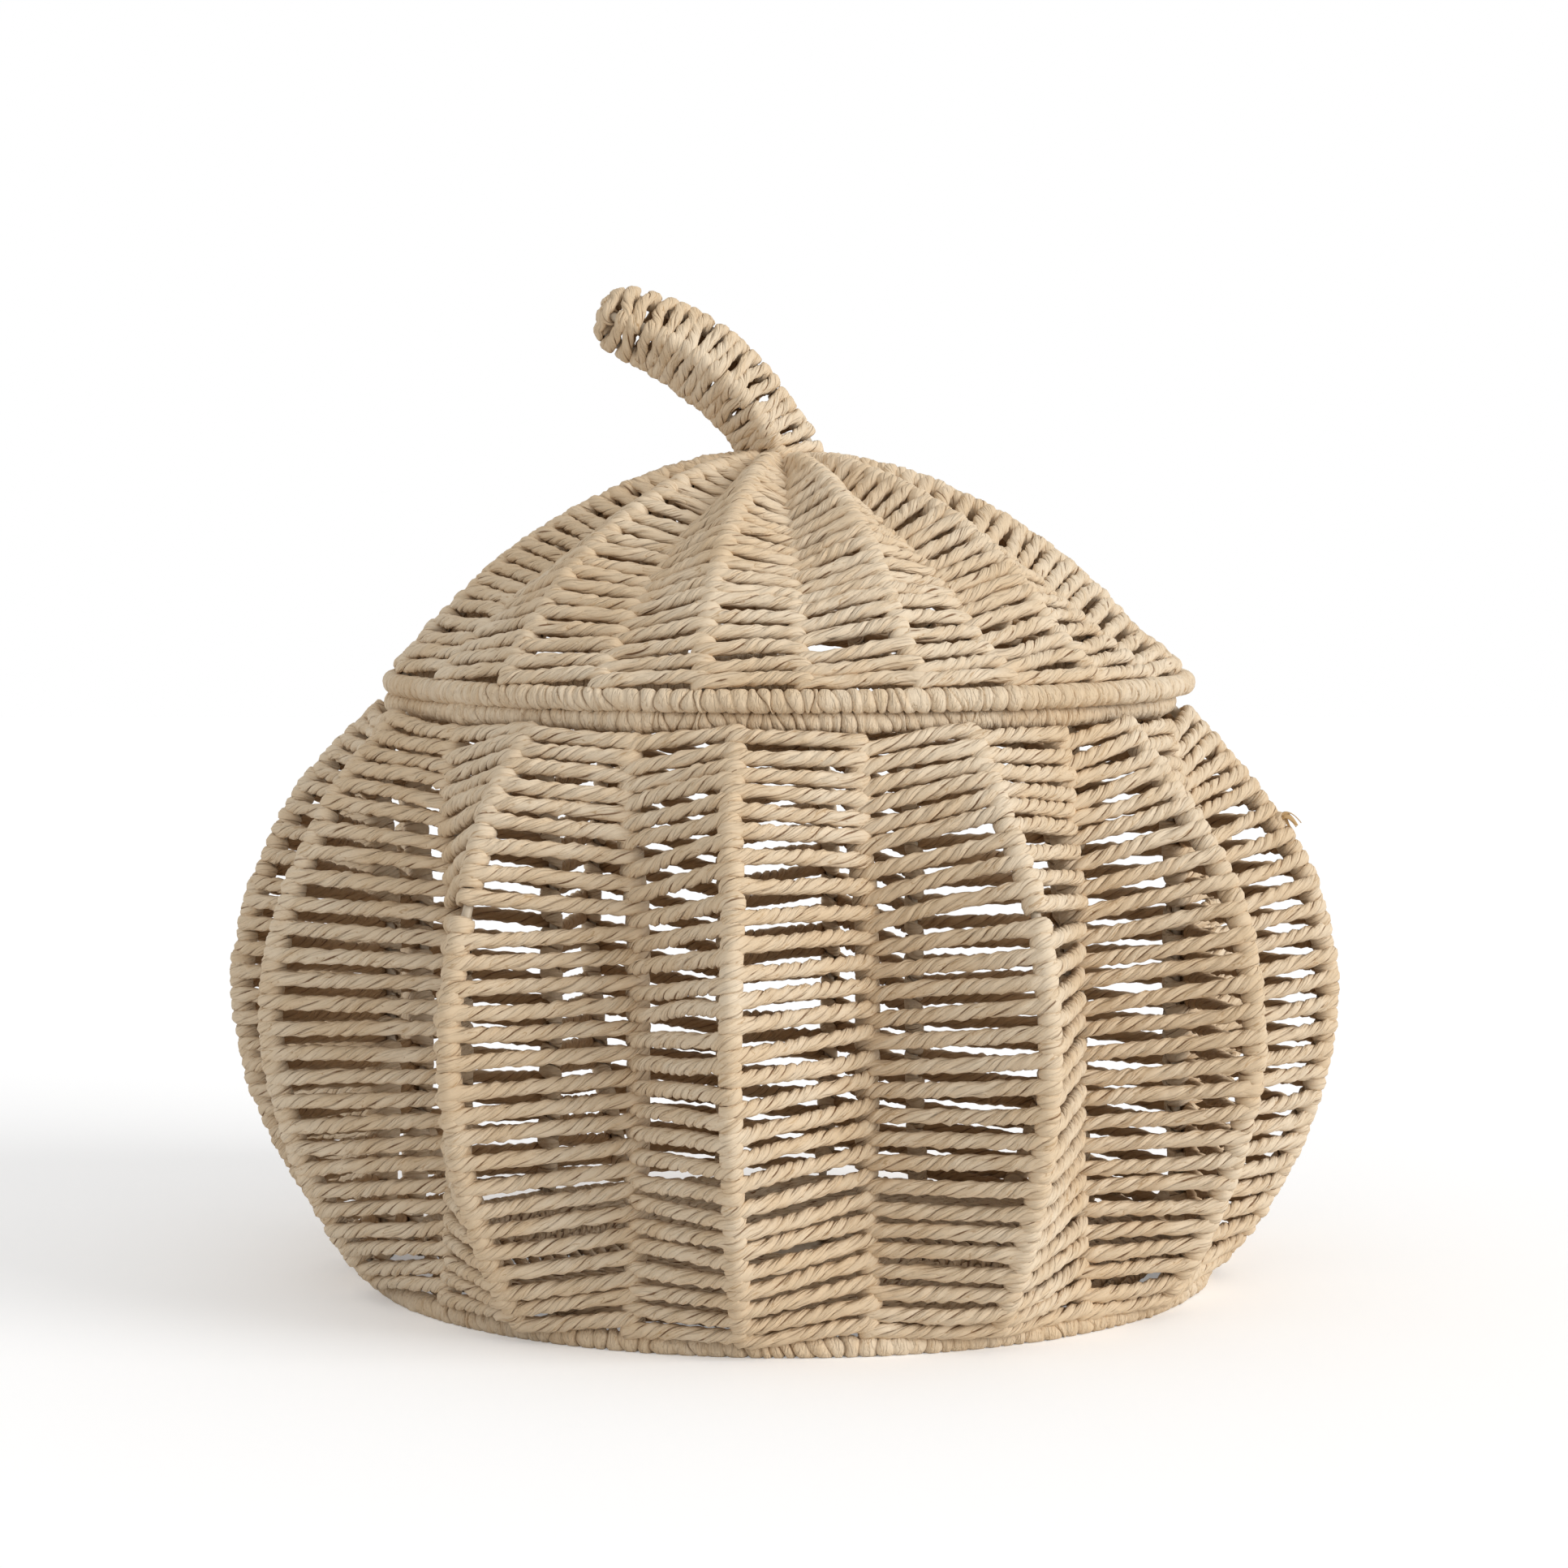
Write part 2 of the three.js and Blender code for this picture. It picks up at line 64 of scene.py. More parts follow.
BODY_SET = [
    0, 0, 0, 0, 0, 2, 4.2, 1, -1.3, -0.4, 0.2, 0.1, -0.4, 0.2, 0.9, 0.8, -0.6, 0, 0, 0, 0, 0, 0, 0,
]
BODY_BULGE = [0, 0, 0, 0, 0, 0, 6.5, 0.5, 2, 0, 0, 0, 0, 0, 0, 0, 0, 0.5, 1.8, 0, 0, 0, 0, 0]
BODY_LEAN = (-2.6, 0.32, 0.18)
CURVE_SAMPLES = 60
MAP_ACROSS = (0.04, 0.92)
MAP_DOWN = (0.005, 0.985)


def smooth_outline(points, step=0.5):
    """A centripetal Catmull-Rom curve through the points, as rows of arc length, position
    and direction at even steps of arc length."""
    p = np.asarray(points, float)
    q = np.vstack([2 * p[0] - p[1], p, 2 * p[-1] - p[-2]])
    a, b, c, d = (q[i:len(q) - 3 + i, None, :] for i in range(4))
    gap = np.sqrt(np.linalg.norm(np.diff(q, axis=0), axis=1))[:, None, None]
    t0, t1, t2, t3 = 0, gap[:-2], gap[:-2] + gap[1:-1], gap[:-2] + gap[1:-1] + gap[2:]
    t = t1 + (t2 - t1) * np.linspace(0, 1, CURVE_SAMPLES)[None, :, None]
    a1 = (t1 - t) / (t1 - t0) * a + (t - t0) / (t1 - t0) * b
    a2 = (t2 - t) / (t2 - t1) * b + (t - t1) / (t2 - t1) * c
    a3 = (t3 - t) / (t3 - t2) * c + (t - t2) / (t3 - t2) * d
    b1 = (t2 - t) / (t2 - t0) * a1 + (t - t0) / (t2 - t0) * a2
    b2 = (t3 - t) / (t3 - t1) * a2 + (t - t1) / (t3 - t1) * a3
    path = ((t2 - t) / (t2 - t1) * b1 + (t - t1) / (t2 - t1) * b2).reshape(-1, p.shape[1])
    keep = np.r_[True, np.linalg.norm(np.diff(path, axis=0), axis=1) > 1e-9]
    path = path[keep]
    arc = np.r_[0, np.cumsum(np.linalg.norm(np.diff(path, axis=0), axis=1))]
    even = np.linspace(0, arc[-1], max(2, int(round(arc[-1] / step)) + 1))
    spaced = np.stack([np.interp(even, arc, column) for column in path.T], 1)
    ways = np.gradient(spaced, even, axis=0)
    ways /= np.linalg.norm(ways, axis=1)[:, None]
    return np.column_stack([even, spaced, ways])


def along_outline(outline, arc):
    """Radius, height and direction of an outline at the given arc lengths."""
    return [np.interp(arc, outline[:, 0], column) for column in outline.T[1:]]


def turned(radius, height, azimuth):
    """A point of the meridian plane, or a direction in it, turned to its azimuth in degrees,
    counted from -Y towards +X."""
    angle = np.radians(azimuth)
    radius, height, angle = np.broadcast_arrays(radius, height, angle)
    return np.stack([radius * np.sin(angle), -radius * np.cos(angle), height], -1)


def lay_mesh(name, corners, quads, caps=(), floats=None, vectors=None, row_length=1.0,
             round_length=1.0):
    """A smooth mesh from corner points in millimetres, a grid of quads and closing faces.
    Its bake map lays the rows of quads one after another in columns side by side, as many
    columns as keep the quads' shape, and leaves a margin round each column."""
    rows, sides = quads.shape[:2]
    corners = np.asarray(corners, float).reshape(-1, 3)
    loops = np.concatenate([quads.reshape(-1), *[np.asarray(c) for c in caps]]).astype(np.int32)
    sizes = np.concatenate([np.full(rows * sides, 4), [len(c) for c in caps]]).astype(np.int32)
    mesh = bpy.data.meshes.new(name)
    mesh.vertices.add(len(corners))
    mesh.vertices.foreach_set("co", (corners * MM).astype(np.float32).ravel())
    mesh.loops.add(len(loops))
    mesh.loops.foreach_set("vertex_index", loops)
    mesh.polygons.add(len(sizes))
    mesh.polygons.foreach_set("loop_start", np.r_[0, np.cumsum(sizes)[:-1]].astype(np.int32))
    mesh.polygons.foreach_set("use_smooth", np.ones(len(sizes), bool))
    mesh.update(calc_edges=True)
    columns = max(1, int(round(math.sqrt(rows * row_length / round_length))))
    per_column = -(-rows // columns)
    row = np.arange(rows)
    column, place = row // per_column, row % per_column
    across = (np.arange(sides)[None, :, None] + np.array([0, 1, 1, 0])) / sides
    down = (place[:, None, None] + np.array([0, 0, 1, 1])) / per_column
    u = (column[:, None, None] + MAP_ACROSS[0] + MAP_ACROSS[1] * across) / columns
    v = MAP_DOWN[0] + MAP_DOWN[1] * (down + 0 * across)
    flat = np.stack([u, v], -1).reshape(-1, 2)
    ends = [np.tile(flat[0], (len(c), 1)) for c in caps]
    bake_map = mesh.uv_layers.new(name="OFBake")
    bake_map.data.foreach_set("uv", np.concatenate([flat, *ends]).astype(np.float32).ravel())
    for key, values in (floats or {}).items():
        mesh.attributes.new(key, "FLOAT", "POINT").data.foreach_set(
            "value", values.astype(np.float32).ravel())
    for key, values in (vectors or {}).items():
        mesh.attributes.new(key, "FLOAT_VECTOR", "POINT").data.foreach_set(
            "vector", values.astype(np.float32).ravel())
    piece = bpy.data.objects.new(name, mesh)
    bpy.context.scene.collection.objects.link(piece)
    return piece


def tube_faces(tubes, rings, sides, closed=False):
    """Quads round every tube of a set, and the faces that close each open end."""
    steps = rings if closed else rings - 1
    tube = np.arange(tubes)[:, None, None] * rings * sides
    ring = np.arange(steps)[None, :, None]
    side = np.arange(sides)[None, None, :]
    here, ahead = ring * sides, (ring + 1) % rings * sides
    nextside = (side + 1) % sides
    quads = np.stack([
        tube + here + side, tube + here + nextside, tube + ahead + nextside, tube + ahead + side,
    ], -1).reshape(tubes * steps, sides, 4)
    caps = []
    if not closed:
        for i in range(tubes):
            first = i * rings * sides
            caps.append(first + np.arange(sides)[::-1])
            caps.append(first + (rings - 1) * sides + np.arange(sides))
    return quads, caps


def round_tubes(name, centre, out, across, radius, sides, closed=False):
    """Round tubes: a circle of the radius in the plane of out and across at every centre."""
    tubes, rings = centre.shape[:2]
    angle = np.arange(sides) * 2 * math.pi / sides
    corners = (
        centre[:, :, None]
        + radius * np.cos(angle)[:, None] * out[:, :, None]
        + radius * np.sin(angle)[:, None] * across[:, :, None]
    )
    quads, caps = tube_faces(tubes, rings, sides, closed)
    length = np.linalg.norm(np.diff(centre[0], axis=0), axis=1).mean()
    return lay_mesh(name, corners, quads, caps, row_length=length, round_length=2 * math.pi * radius)


def on_ribs(outlines, phase, sets, bulges, lean, wire, share):
    """Centre of a rib, way along it, way out and way round, at a share of its arc counted down
    from the top. Ridges are the even wires. Each rib stands a little off its even place by its
    set in degrees and bulges by its own amount. Above the first share of the lean the shell
    moves along X, up to the lean's whole amount above its second share."""
    wire, share = np.broadcast_arrays(wire, share)
    index = wire % WIRES
    azimuth = phase - 180 + wire * 360 / WIRES + np.asarray(sets, float)[index]
    found = [along_outline(outline, outline[-1, 0] * (1 - share)) for outline in outlines]
    radius, height, way_out, way_up = (
        np.where(wire % 2 == 0, a, b) for a, b in zip(*found))
    radius = radius + np.asarray(bulges, float)[index] * np.sin(math.pi * np.clip(share, 0, 1))
    centre = turned(radius, height, azimuth)
    amount, start, whole = lean
    centre[..., 0] += amount * np.clip((start - share) / (start - whole), 0, 1)
    along = turned(way_out, way_up, azimuth)
    out = turned(way_up, -way_out, azimuth)
    return centre, along, out, np.cross(along, out)


def rib_wires(name, shell, wires):
    """One wire for each of the numbered ribs of a shell, a tube along the rib from the ring at
    its foot to the one at its top."""
    length = max(outline[-1, 0] for outline in shell[0])
    share = np.linspace(1, 0, int(length / WIRE_STEP))
    centre, along, out, across = on_ribs(*shell, np.asarray(wires)[:, None], share[None])
    return round_tubes(name, centre, out, across, WIRE_RADIUS, WIRE_SIDES)


def ring_wire(name, radius, height, count=RING_SIDES, lean=0.0):
    """One hoop of wire: its centre line is a circle round the axis, moved along X by the lean."""
    azimuth = np.arange(count)[None] * 360 / count
    centre = turned(radius, height, azimuth)
    centre[..., 0] += lean
    return round_tubes(name, centre, turned(1, 0, azimuth), turned(0, -1, azimuth),
                       WIRE_RADIUS, WIRE_SIDES, closed=True)


def new_node(tree, kind, **settings):
    """A shader node with its properties and plain input values set by name."""
    node = tree.nodes.new(kind)
    for key, value in settings.items():
        label = key.replace("_", " ").title() if not hasattr(node, key) else None
        if label is None:
            setattr(node, key, value)
        else:
            node.inputs[label].default_value = value
    return node


def coated_wire():
    """Satin beige coating with slightly darker scuffs."""
    material = bpy.data.materials.new("coated wire")
    material.use_nodes = True
    tree = material.node_tree
    shader = tree.nodes["Principled BSDF"]
    where = tree.nodes.new("ShaderNodeTexCoord")
    scuffs = new_node(tree, "ShaderNodeTexNoise", scale=260, detail=3)
    tone = tree.nodes.new("ShaderNodeMix")
    tone.data_type = "RGBA"
    tone.inputs["A"].default_value = WIRE_PALE
    tone.inputs["B"].default_value = WIRE_TAN
    dent = new_node(tree, "ShaderNodeBump", strength=0.25, distance=0.0001)
    tree.links.new(where.outputs["Object"], scuffs.inputs["Vector"])
    tree.links.new(scuffs.outputs["Fac"], tone.inputs["Factor"])
    tree.links.new(tone.outputs["Result"], shader.inputs["Base Color"])
    tree.links.new(scuffs.outputs["Fac"], dent.inputs["Height"])
    tree.links.new(dent.outputs["Normal"], shader.inputs["Normal"])
    shader.inputs["Roughness"].default_value = 0.42
    return material


def numbered(rib):
    """The names of the twelve like ribs, counted from 01."""
    return [f"{rib}_{i + 1:02d}" for i in range(LOBES)]


WIRE_FINISH = coated_wire()
body_ridge = smooth_outline(BODY_RIDGE)
body_valley = smooth_outline(BODY_VALLEY)
body_shell = ((body_ridge, body_valley), BODY_PHASE, BODY_SET, BODY_BULGE, BODY_LEAN)
ridges, valleys = np.arange(0, WIRES, 2), np.arange(1, WIRES, 2)
ridge_turns = BODY_PHASE - 180 + ridges * 360 / WIRES
valley_turns = BODY_PHASE - 180 + valleys * 360 / WIRES
for piece, nodes in (
    (rib_wires("body_ridge_wires", body_shell, ridges), numbered("body_ridge_rib")),
    (rib_wires("body_valley_wires", body_shell, valleys), numbered("body_valley_rib")),
    (ring_wire("base_ring_wire", *BASE_RING), ["base_ring"]),
    (ring_wire("body_rim_wire", *BODY_RIM, lean=BODY_LEAN[0]), ["body_rim_ring"]),
):
    piece.data.materials.append(WIRE_FINISH)
    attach(piece, "basket")
    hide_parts(*nodes)


# Body wall weave
# One long cord of twisted paper in three folded plies, 27 rows down the wall. It passes over
# each wire, once round behind it, and over it again a cord's width lower before it runs on to
# the next. At two places the rows have slipped apart on their wire and show it.
CORD_RADIUS = 2.33
CORD_STEP = 1.2
PLIES = 3
PLY_TURN = 18.0
PLY_ANGLES = np.array([0, 44, 60, 76, 120, 164, 180, 196, 240, 284, 300, 316.0])
PLY_SWELL = 0.09
CREASE_DEPTH = 0.25
WANDER = 0.9
DEPTH = (0.66, 0.26)
CREASE_WIDTH = 9.0
TWIST_WAVES = (23, 37, 61, 97, 173, 311)
DEPTH_WAVES = (7, 11.3, 18.7, 31)
FATNESS_WAVES = (17, 29, 47, 77, 190)
FATNESS = 0.05
FOLD_WAVES = (11, 19, 37, 71)
FOLD_WANDER = 2.6
FOLDS = ((1, 0.050), (2, 0.050), (4, 0.025))
PRESS_SMOOTHS = 0.35
PRESS_FADES = 0.2
GRAIN_TWIST = 0.25
GRAIN_LENGTH = 0.2
# How much of the browner painted shade the side of the cord towards its wires gets.
INWARD_SHADE_LEVEL = 0.15
INWARD_SHADE_RISE = 0.95
FRONT_FLAT = 0.32
SIDE_FLAT = 0.55
SIDE_REACH = 2.3
SPREAD = 0.4
DROP_FROM = 70
DROP_OVER = 220
WRAP_SAMPLES = 27
STRAND_SAMPLES = 40
STRAND_WAVES = 2
STRAND_DEPTH = 0.6
PRESSED_LENGTH = 5.0
ROW_FILL = 0.56
RIDGE_REACH = (3.35, 3.25)
WALL_VALLEY_REACH = (3.9, 3.0)
WALL_UNEVEN = (0.28, 0.24)
WALL_ROW_UNEVEN = 0.0018
BODY_ROWS = 27
BODY_FRONT_WRAP = 12.33
BODY_LEVELS = [-0.6, 0, 5, 9, 14, 19, 24, 26, 26.6]
RIDGE_SHARES = [0.032, 0.038, 0.186, 0.352, 0.536, 0.720, 0.894, 0.962, 0.970]
VALLEY_SHARES = [0.036, 0.044, 0.193, 0.352, 0.543, 0.731, 0.906, 0.972, 0.978]
WALL_PIECES = 6
SLIPS = ((10, 8.4, -0.0105, 0.0226), (14, 8.57, -0.0156, 0.0035))
SLIP_ROWS = 1.6
CORD_PALE = (0.825, 0.685, 0.508, 1)
CORD_TAN = (0.700, 0.515, 0.318, 1)
CORD_LINE = (0.440, 0.270, 0.125, 1)
# Painted shade in the creases between the plies.
CORD_CREASE_SHADE = (0.200, 0.100, 0.042, 1)
# Painted shade on the cord's side towards the wires.
CORD_INWARD_SHADE = (0.400, 0.225, 0.095, 1)


def woven_path(centre, along, out, across, gap, reach_in, reach_out, rng, wobble=0.45,
               side_reach=SIDE_REACH):
    """The cord's centre line through its wraps. A wrap turns about its wire, from the side that
    faces the strand coming in, once round and on to the side that faces the strand going out,
    drops by gap behind the wire, and lies closer to it there than in front. A strand is the
    straight line between two wraps, with a slow waver. Gives rows of point, way away from the
    wires, how hard the cord is pressed and how flat it lies."""
    count = len(centre)
    high = centre + along * gap[:, None] / 2
    low = centre - along * gap[:, None] / 2
    run = high[1:] - low[:-1]
    face = np.cross(run, along[1:] + along[:-1])
    face /= np.linalg.norm(face, axis=1)[:, None]
    face_in = np.vstack([out[:1], face])
    face_out = np.vstack([face, out[-1:]])

    def bearing(way):
        """The angle of a direction round the wire, from out towards across."""
        return np.arctan2((way * across).sum(1), (way * out).sum(1))

    start = bearing(face_in)
    end = bearing(face_out) + 2 * math.pi
    share = np.linspace(0, 1, WRAP_SAMPLES)
    turn = start[:, None] + (end - start)[:, None] * share
    fall = np.clip((turn - math.radians(DROP_FROM)) / math.radians(DROP_OVER), 0, 1)
    fall = fall * fall * (3 - 2 * fall)
    front = np.clip(np.cos(turn), 0, 1)
    side = np.broadcast_to(side_reach, count)[:, None]
    reach = reach_in[:, None] + (reach_out - reach_in)[:, None] * share
    reach = side + (reach - side) * front
    away = (
        np.cos(turn)[:, :, None] * out[:, None] + np.sin(turn)[:, :, None] * across[:, None]
    )
    wrap = (
        centre[:, None]
        + along[:, None] * (gap[:, None] * (0.5 - fall))[:, :, None]
        + away * reach[:, :, None]
    )
    wrap_flat = SIDE_FLAT + (FRONT_FLAT - SIDE_FLAT) * front
    t = np.linspace(0, 1, STRAND_SAMPLES + 2)[1:-1]
    first, last = wrap[:-1, -1], wrap[1:, 0]
    strand = first[:, None] + (last - first)[:, None] * t[:, None]
    waves = rng.normal(0, wobble, (count - 1, 2 * STRAND_WAVES))
    lift, push = (
        sum(waves[:, i + first_wave, None] / (i + 1) * np.sin(math.pi * (i + 1) * t)
            for i in range(STRAND_WAVES))
        for first_wave in (0, STRAND_WAVES))
    strand = (
        strand
        + along[:-1, None] * lift[:, :, None]
        + face[:, None] * (STRAND_DEPTH * push[:, :, None])
    )
    near_end = np.minimum(t, 1 - t) * np.linalg.norm(last - first, axis=1)[:, None]
    press = np.clip(1 - near_end / PRESSED_LENGTH, 0, 1)

    def row(point, way, pressed, flat):
        """Points, ways, presses and flatnesses side by side, eight columns in all."""
        return np.concatenate([point, way, pressed[..., None], flat[..., None]], -1)

    wraps = row(wrap, away, np.ones((count, WRAP_SAMPLES)), wrap_flat)
    strands = row(strand, np.broadcast_to(face[:, None], strand.shape), press, FRONT_FLAT * press)
    path = np.concatenate([wraps[:-1], strands], 1).reshape(-1, 8)
    return np.vstack([path, wraps[-1]])


def evened(path, step):
    """The path at even steps of arc length, its points twice averaged with their neighbours by
    the weights 1, 2, 1: arc, point, way along, way away, press and flatness."""
    points = path[:, :3].copy()
    for _ in range(2):
        points[1:-1] = 0.25 * points[:-2] + 0.5 * points[1:-1] + 0.25 * points[2:]
    arc = np.r_[0, np.cumsum(np.linalg.norm(np.diff(points, axis=0), axis=1))]
    even = np.arange(0, arc[-1], step)
    rows = np.column_stack([points, path[:, 3:]])
    rows = np.stack([np.interp(even, arc, column) for column in rows.T], 1)
    points, aways, press, flat = rows[:, :3], rows[:, 3:6], rows[:, 6], rows[:, 7]
    along = np.gradient(points, axis=0)
    along /= np.linalg.norm(along, axis=1)[:, None]
    aways = aways - along * (aways * along).sum(1)[:, None]
    aways /= np.linalg.norm(aways, axis=1)[:, None]
    return even, points, along, aways, press, flat


def slow_waves(arc, rng, lengths, spread):
    """A sum of sine waves of the given wave lengths, each with its own random phase."""
    total = np.zeros_like(arc)
    for length in lengths:
        total += np.sin(2 * math.pi * arc / length + rng.uniform(0, 2 * math.pi))
    return spread * total / math.sqrt(len(lengths))


def cord_rings(line, radius, rng, ply_turn=PLY_TURN, angles=PLY_ANGLES, wander=WANDER,
               depth=DEPTH):
    """Rings of corners round a cord of three plies. The section is a circle that swells at
    each ply and is pressed in at the creases between them, with low folds that wander round
    it. It turns like the middle stroke of a Z, and lies flatter and smoother where it is
    pressed. The turn wanders, and the creases go deep or fade, by wander and depth. The grain
    is the cord's surface with a quarter of its twist and a fifth of its length, so that marks
    laid over it run long and follow the plies."""
    arc, points, along, aways, press, flat = line
    across = np.cross(along, aways)
    twist = 2 * math.pi * arc / ply_turn + slow_waves(arc, rng, TWIST_WAVES, wander)
    ply = np.radians(angles)[None]
    apart = 360 / PLIES
    off_crease = np.abs((angles[None] % apart) - apart / 2) / CREASE_WIDTH
    depths = np.stack([
        depth[0] + slow_waves(arc, rng, DEPTH_WAVES, depth[1]) for _ in range(PLIES)], 1)
    depths = np.clip(depths, 0, 1)
    crease = np.exp(-off_crease ** 2) * depths[:, (angles // apart).astype(int)]
    press, flat = press[:, None], flat[:, None]
    fat = radius * (1 + slow_waves(arc, rng, FATNESS_WAVES, FATNESS))[:, None]
    folds = sum(
        amount * np.sin(order * ply + slow_waves(arc, rng, FOLD_WAVES, FOLD_WANDER)[:, None])
        for order, amount in FOLDS
    )
    plies = PLY_SWELL * np.cos(PLIES * ply) - CREASE_DEPTH * crease
    reach = fat * (1 + plies * (1 - PRESS_SMOOTHS * press) + folds)
    turn = ply - twist[:, None]
    corners = (
        points[:, None]
        + (reach * np.cos(turn) * (1 - flat))[:, :, None] * aways[:, None]
        + (reach * np.sin(turn) * (1 + SPREAD * flat))[:, :, None] * across[:, None]
    )
    lag = ply - GRAIN_TWIST * twist[:, None]
    grain = np.stack([
        radius * np.cos(lag), radius * np.sin(lag), (GRAIN_LENGTH * arc)[:, None] + 0 * ply,
    ], -1)
    # Mask for painted shade on the side of the cord that faces its wires.
    inward_shade = np.clip(INWARD_SHADE_LEVEL - INWARD_SHADE_RISE * np.cos(turn), 0, 1)
    # The crease value also masks painted shade in the creases, less where the cord is pressed.
    return corners, grain, crease * (1 - PRESS_FADES * press), inward_shade


def cord_pieces(names, line, marks, radius, rng, **options):
    """The cord as meshes, one for each name, cut at the numbered steps of its line."""
    corners, grain, crease, inward_shade = cord_rings(line, radius, rng, **options)
    made = []
    for name, first, last in zip(names, marks[:-1], marks[1:]):
        part = slice(first, last + 1)
        rings, sides = corners[part].shape[:2]
        quads, caps = tube_faces(1, rings, sides)
        made.append(lay_mesh(
            name, corners[part], quads, caps,
            floats={"crease": crease[part], "inward_shade": inward_shade[part]},
            vectors={"grain": grain[part]},
            row_length=line[0][1], round_length=2 * math.pi * radius,
        ))
    return made


def paper_cord(name, fold_size=0.42, line_strength=0.7, crease_shade_strength=0.95):
    """Twisted kraft paper: folds and fine lines that follow the plies, painted shade in thin
    creases between them, a slow change of tone, and browner painted shade on the side towards the
    wires. All but the slow change are laid over the cord's grain attribute."""
    material = bpy.data.materials.new(name)
    material.use_nodes = True
    tree = material.node_tree
    link = tree.links.new
    shader = tree.nodes["Principled BSDF"]

    def maths(operation, a, b=None):
        """One step of arithmetic on plain numbers or other nodes' values."""
        node = tree.nodes.new("ShaderNodeMath")
        node.operation = operation
        for socket, value in zip(node.inputs, (a, b)):
            if value is None:
                continue
            if isinstance(value, (int, float)):
                socket.default_value = value
            else:
                link(value, socket)
        return node.outputs[0]

    def noise(vector, scale, detail, roughness=0.5):
        """Noise from 0 to 1 over a vector."""
        node = new_node(
            tree, "ShaderNodeTexNoise", scale=scale, detail=detail, roughness=roughness)
        link(vector, node.inputs["Vector"])
        return node.outputs["Fac"]

    def between(value, low, high, bottom=0.0, top=1.0):
        """A smooth step from bottom to top while the value goes from low to high."""
        node = tree.nodes.new("ShaderNodeMapRange")
        node.interpolation_type = "SMOOTHSTEP"
        link(value, node.inputs["Value"])
        for key, amount in zip(("From Min", "From Max", "To Min", "To Max"), (low, high, bottom, top)):
            node.inputs[key].default_value = amount
        return node.outputs["Result"]

    def blend(share, a, b):
        """The first colour, with the given share of the second."""
        node = tree.nodes.new("ShaderNodeMix")
        node.data_type = "RGBA"
        link(share, node.inputs["Factor"])
        for socket, value in ((node.inputs["A"], a), (node.inputs["B"], b)):
            if isinstance(value, tuple):
                socket.default_value = value
            else:
                link(value, socket)
        return node.outputs["Result"]

    def fold(size):
        """Zero along wandering lines, rising to either side."""
        return maths("ABSOLUTE", maths("SUBTRACT", noise(grain, size, 1.5, 0.5), 0.5))

    def attribute(key, output="Fac"):
        """A value that the cord's mesh holds at every corner."""
        return new_node(tree, "ShaderNodeAttribute", attribute_name=key).outputs[output]

    where = tree.nodes.new("ShaderNodeTexCoord").outputs["Object"]
    grain = attribute("grain", "Vector")
    crease = attribute("crease")
    wide_folds, fine_folds = fold(fold_size), fold(fold_size * 2.6)
    fibres = noise(grain, fold_size * 8, 2, 0.6)
    patches = noise(grain, fold_size * 0.6, 2)
    broken = between(noise(grain, fold_size * 1.3, 1), 0.44, 0.62)

    # The paper's tone: slow over the whole basket, then in patches and fibres along the cord.
    colour = blend(between(noise(where, 24, 3, 0.6), 0.32, 0.68, 0, 0.7), CORD_PALE, CORD_TAN)
    colour = blend(between(patches, 0.45, 0.70, 0, 0.45), colour, CORD_TAN)
    colour = blend(between(fibres, 0.35, 0.62, 0.16, 0), colour, CORD_TAN)
    # Thin lines where the paper is folded, broken off here and there, and finer ones in patches.
    fold_lines = between(wide_folds, 0.0, 0.020, line_strength, 0)
    colour = blend(maths("MULTIPLY", fold_lines, broken), colour, CORD_LINE)
    thin_lines = between(fine_folds, 0.0, 0.026, 0.45 * line_strength, 0)
    colour = blend(maths("MULTIPLY", thin_lines, between(patches, 0.40, 0.58)), colour, CORD_LINE)
    # Painted shade: the side towards the wires is browner, and the creases between the plies are
    # darkest.
    colour = blend(maths("MULTIPLY", attribute("inward_shade"), 0.85), colour, CORD_INWARD_SHADE)
    crease_shade = maths("MULTIPLY", between(crease, 0.24, 0.66), between(broken, 0, 1, 0.45, crease_shade_strength))
    colour = blend(crease_shade, colour, CORD_CREASE_SHADE)
    link(colour, shader.inputs["Base Color"])

    # Relief: ridges between the folds, high and low patches, and fibres.
    height = between(wide_folds, 0.0, 0.10, 0, 0.7)
    height = maths("ADD", height, maths("MULTIPLY", between(fine_folds, 0.0, 0.08), 0.17))
    height = maths("ADD", height, maths("MULTIPLY", patches, 3.0))
    height = maths("ADD", height, maths("MULTIPLY", fibres, 0.10))
    relief = new_node(tree, "ShaderNodeBump", strength=0.85, distance=0.0004)
    link(height, relief.inputs["Height"])
    link(relief.outputs["Normal"], shader.inputs["Normal"])
    shader.inputs["Roughness"].default_value = 0.72
    shader.inputs["Specular IOR Level"].default_value = 0.30
    return material


CORD_FINISH = paper_cord("twisted paper cord")
rng = np.random.default_rng(27)
wrap_number = np.arange(BODY_ROWS * WIRES)
level = (wrap_number - BODY_FRONT_WRAP) / WIRES
is_ridge = wrap_number % 2 == 0
wall_share = np.where(is_ridge, np.interp(level, BODY_LEVELS, RIDGE_SHARES),
                      np.interp(level, BODY_LEVELS, VALLEY_SHARES))
row_share = np.gradient(np.interp(level, BODY_LEVELS, RIDGE_SHARES), level)
wall_share = wall_share + rng.normal(0, WALL_ROW_UNEVEN, len(level))
for wire, slip_level, up, down in SLIPS:
    off = level - slip_level
    slip = np.where(off < 0, up, down) * np.exp(-np.abs(off) / SLIP_ROWS)
    wall_share = wall_share + np.where(wrap_number % WIRES == wire, slip, 0)
row_height = row_share * np.where(is_ridge, body_ridge[-1, 0], body_valley[-1, 0])
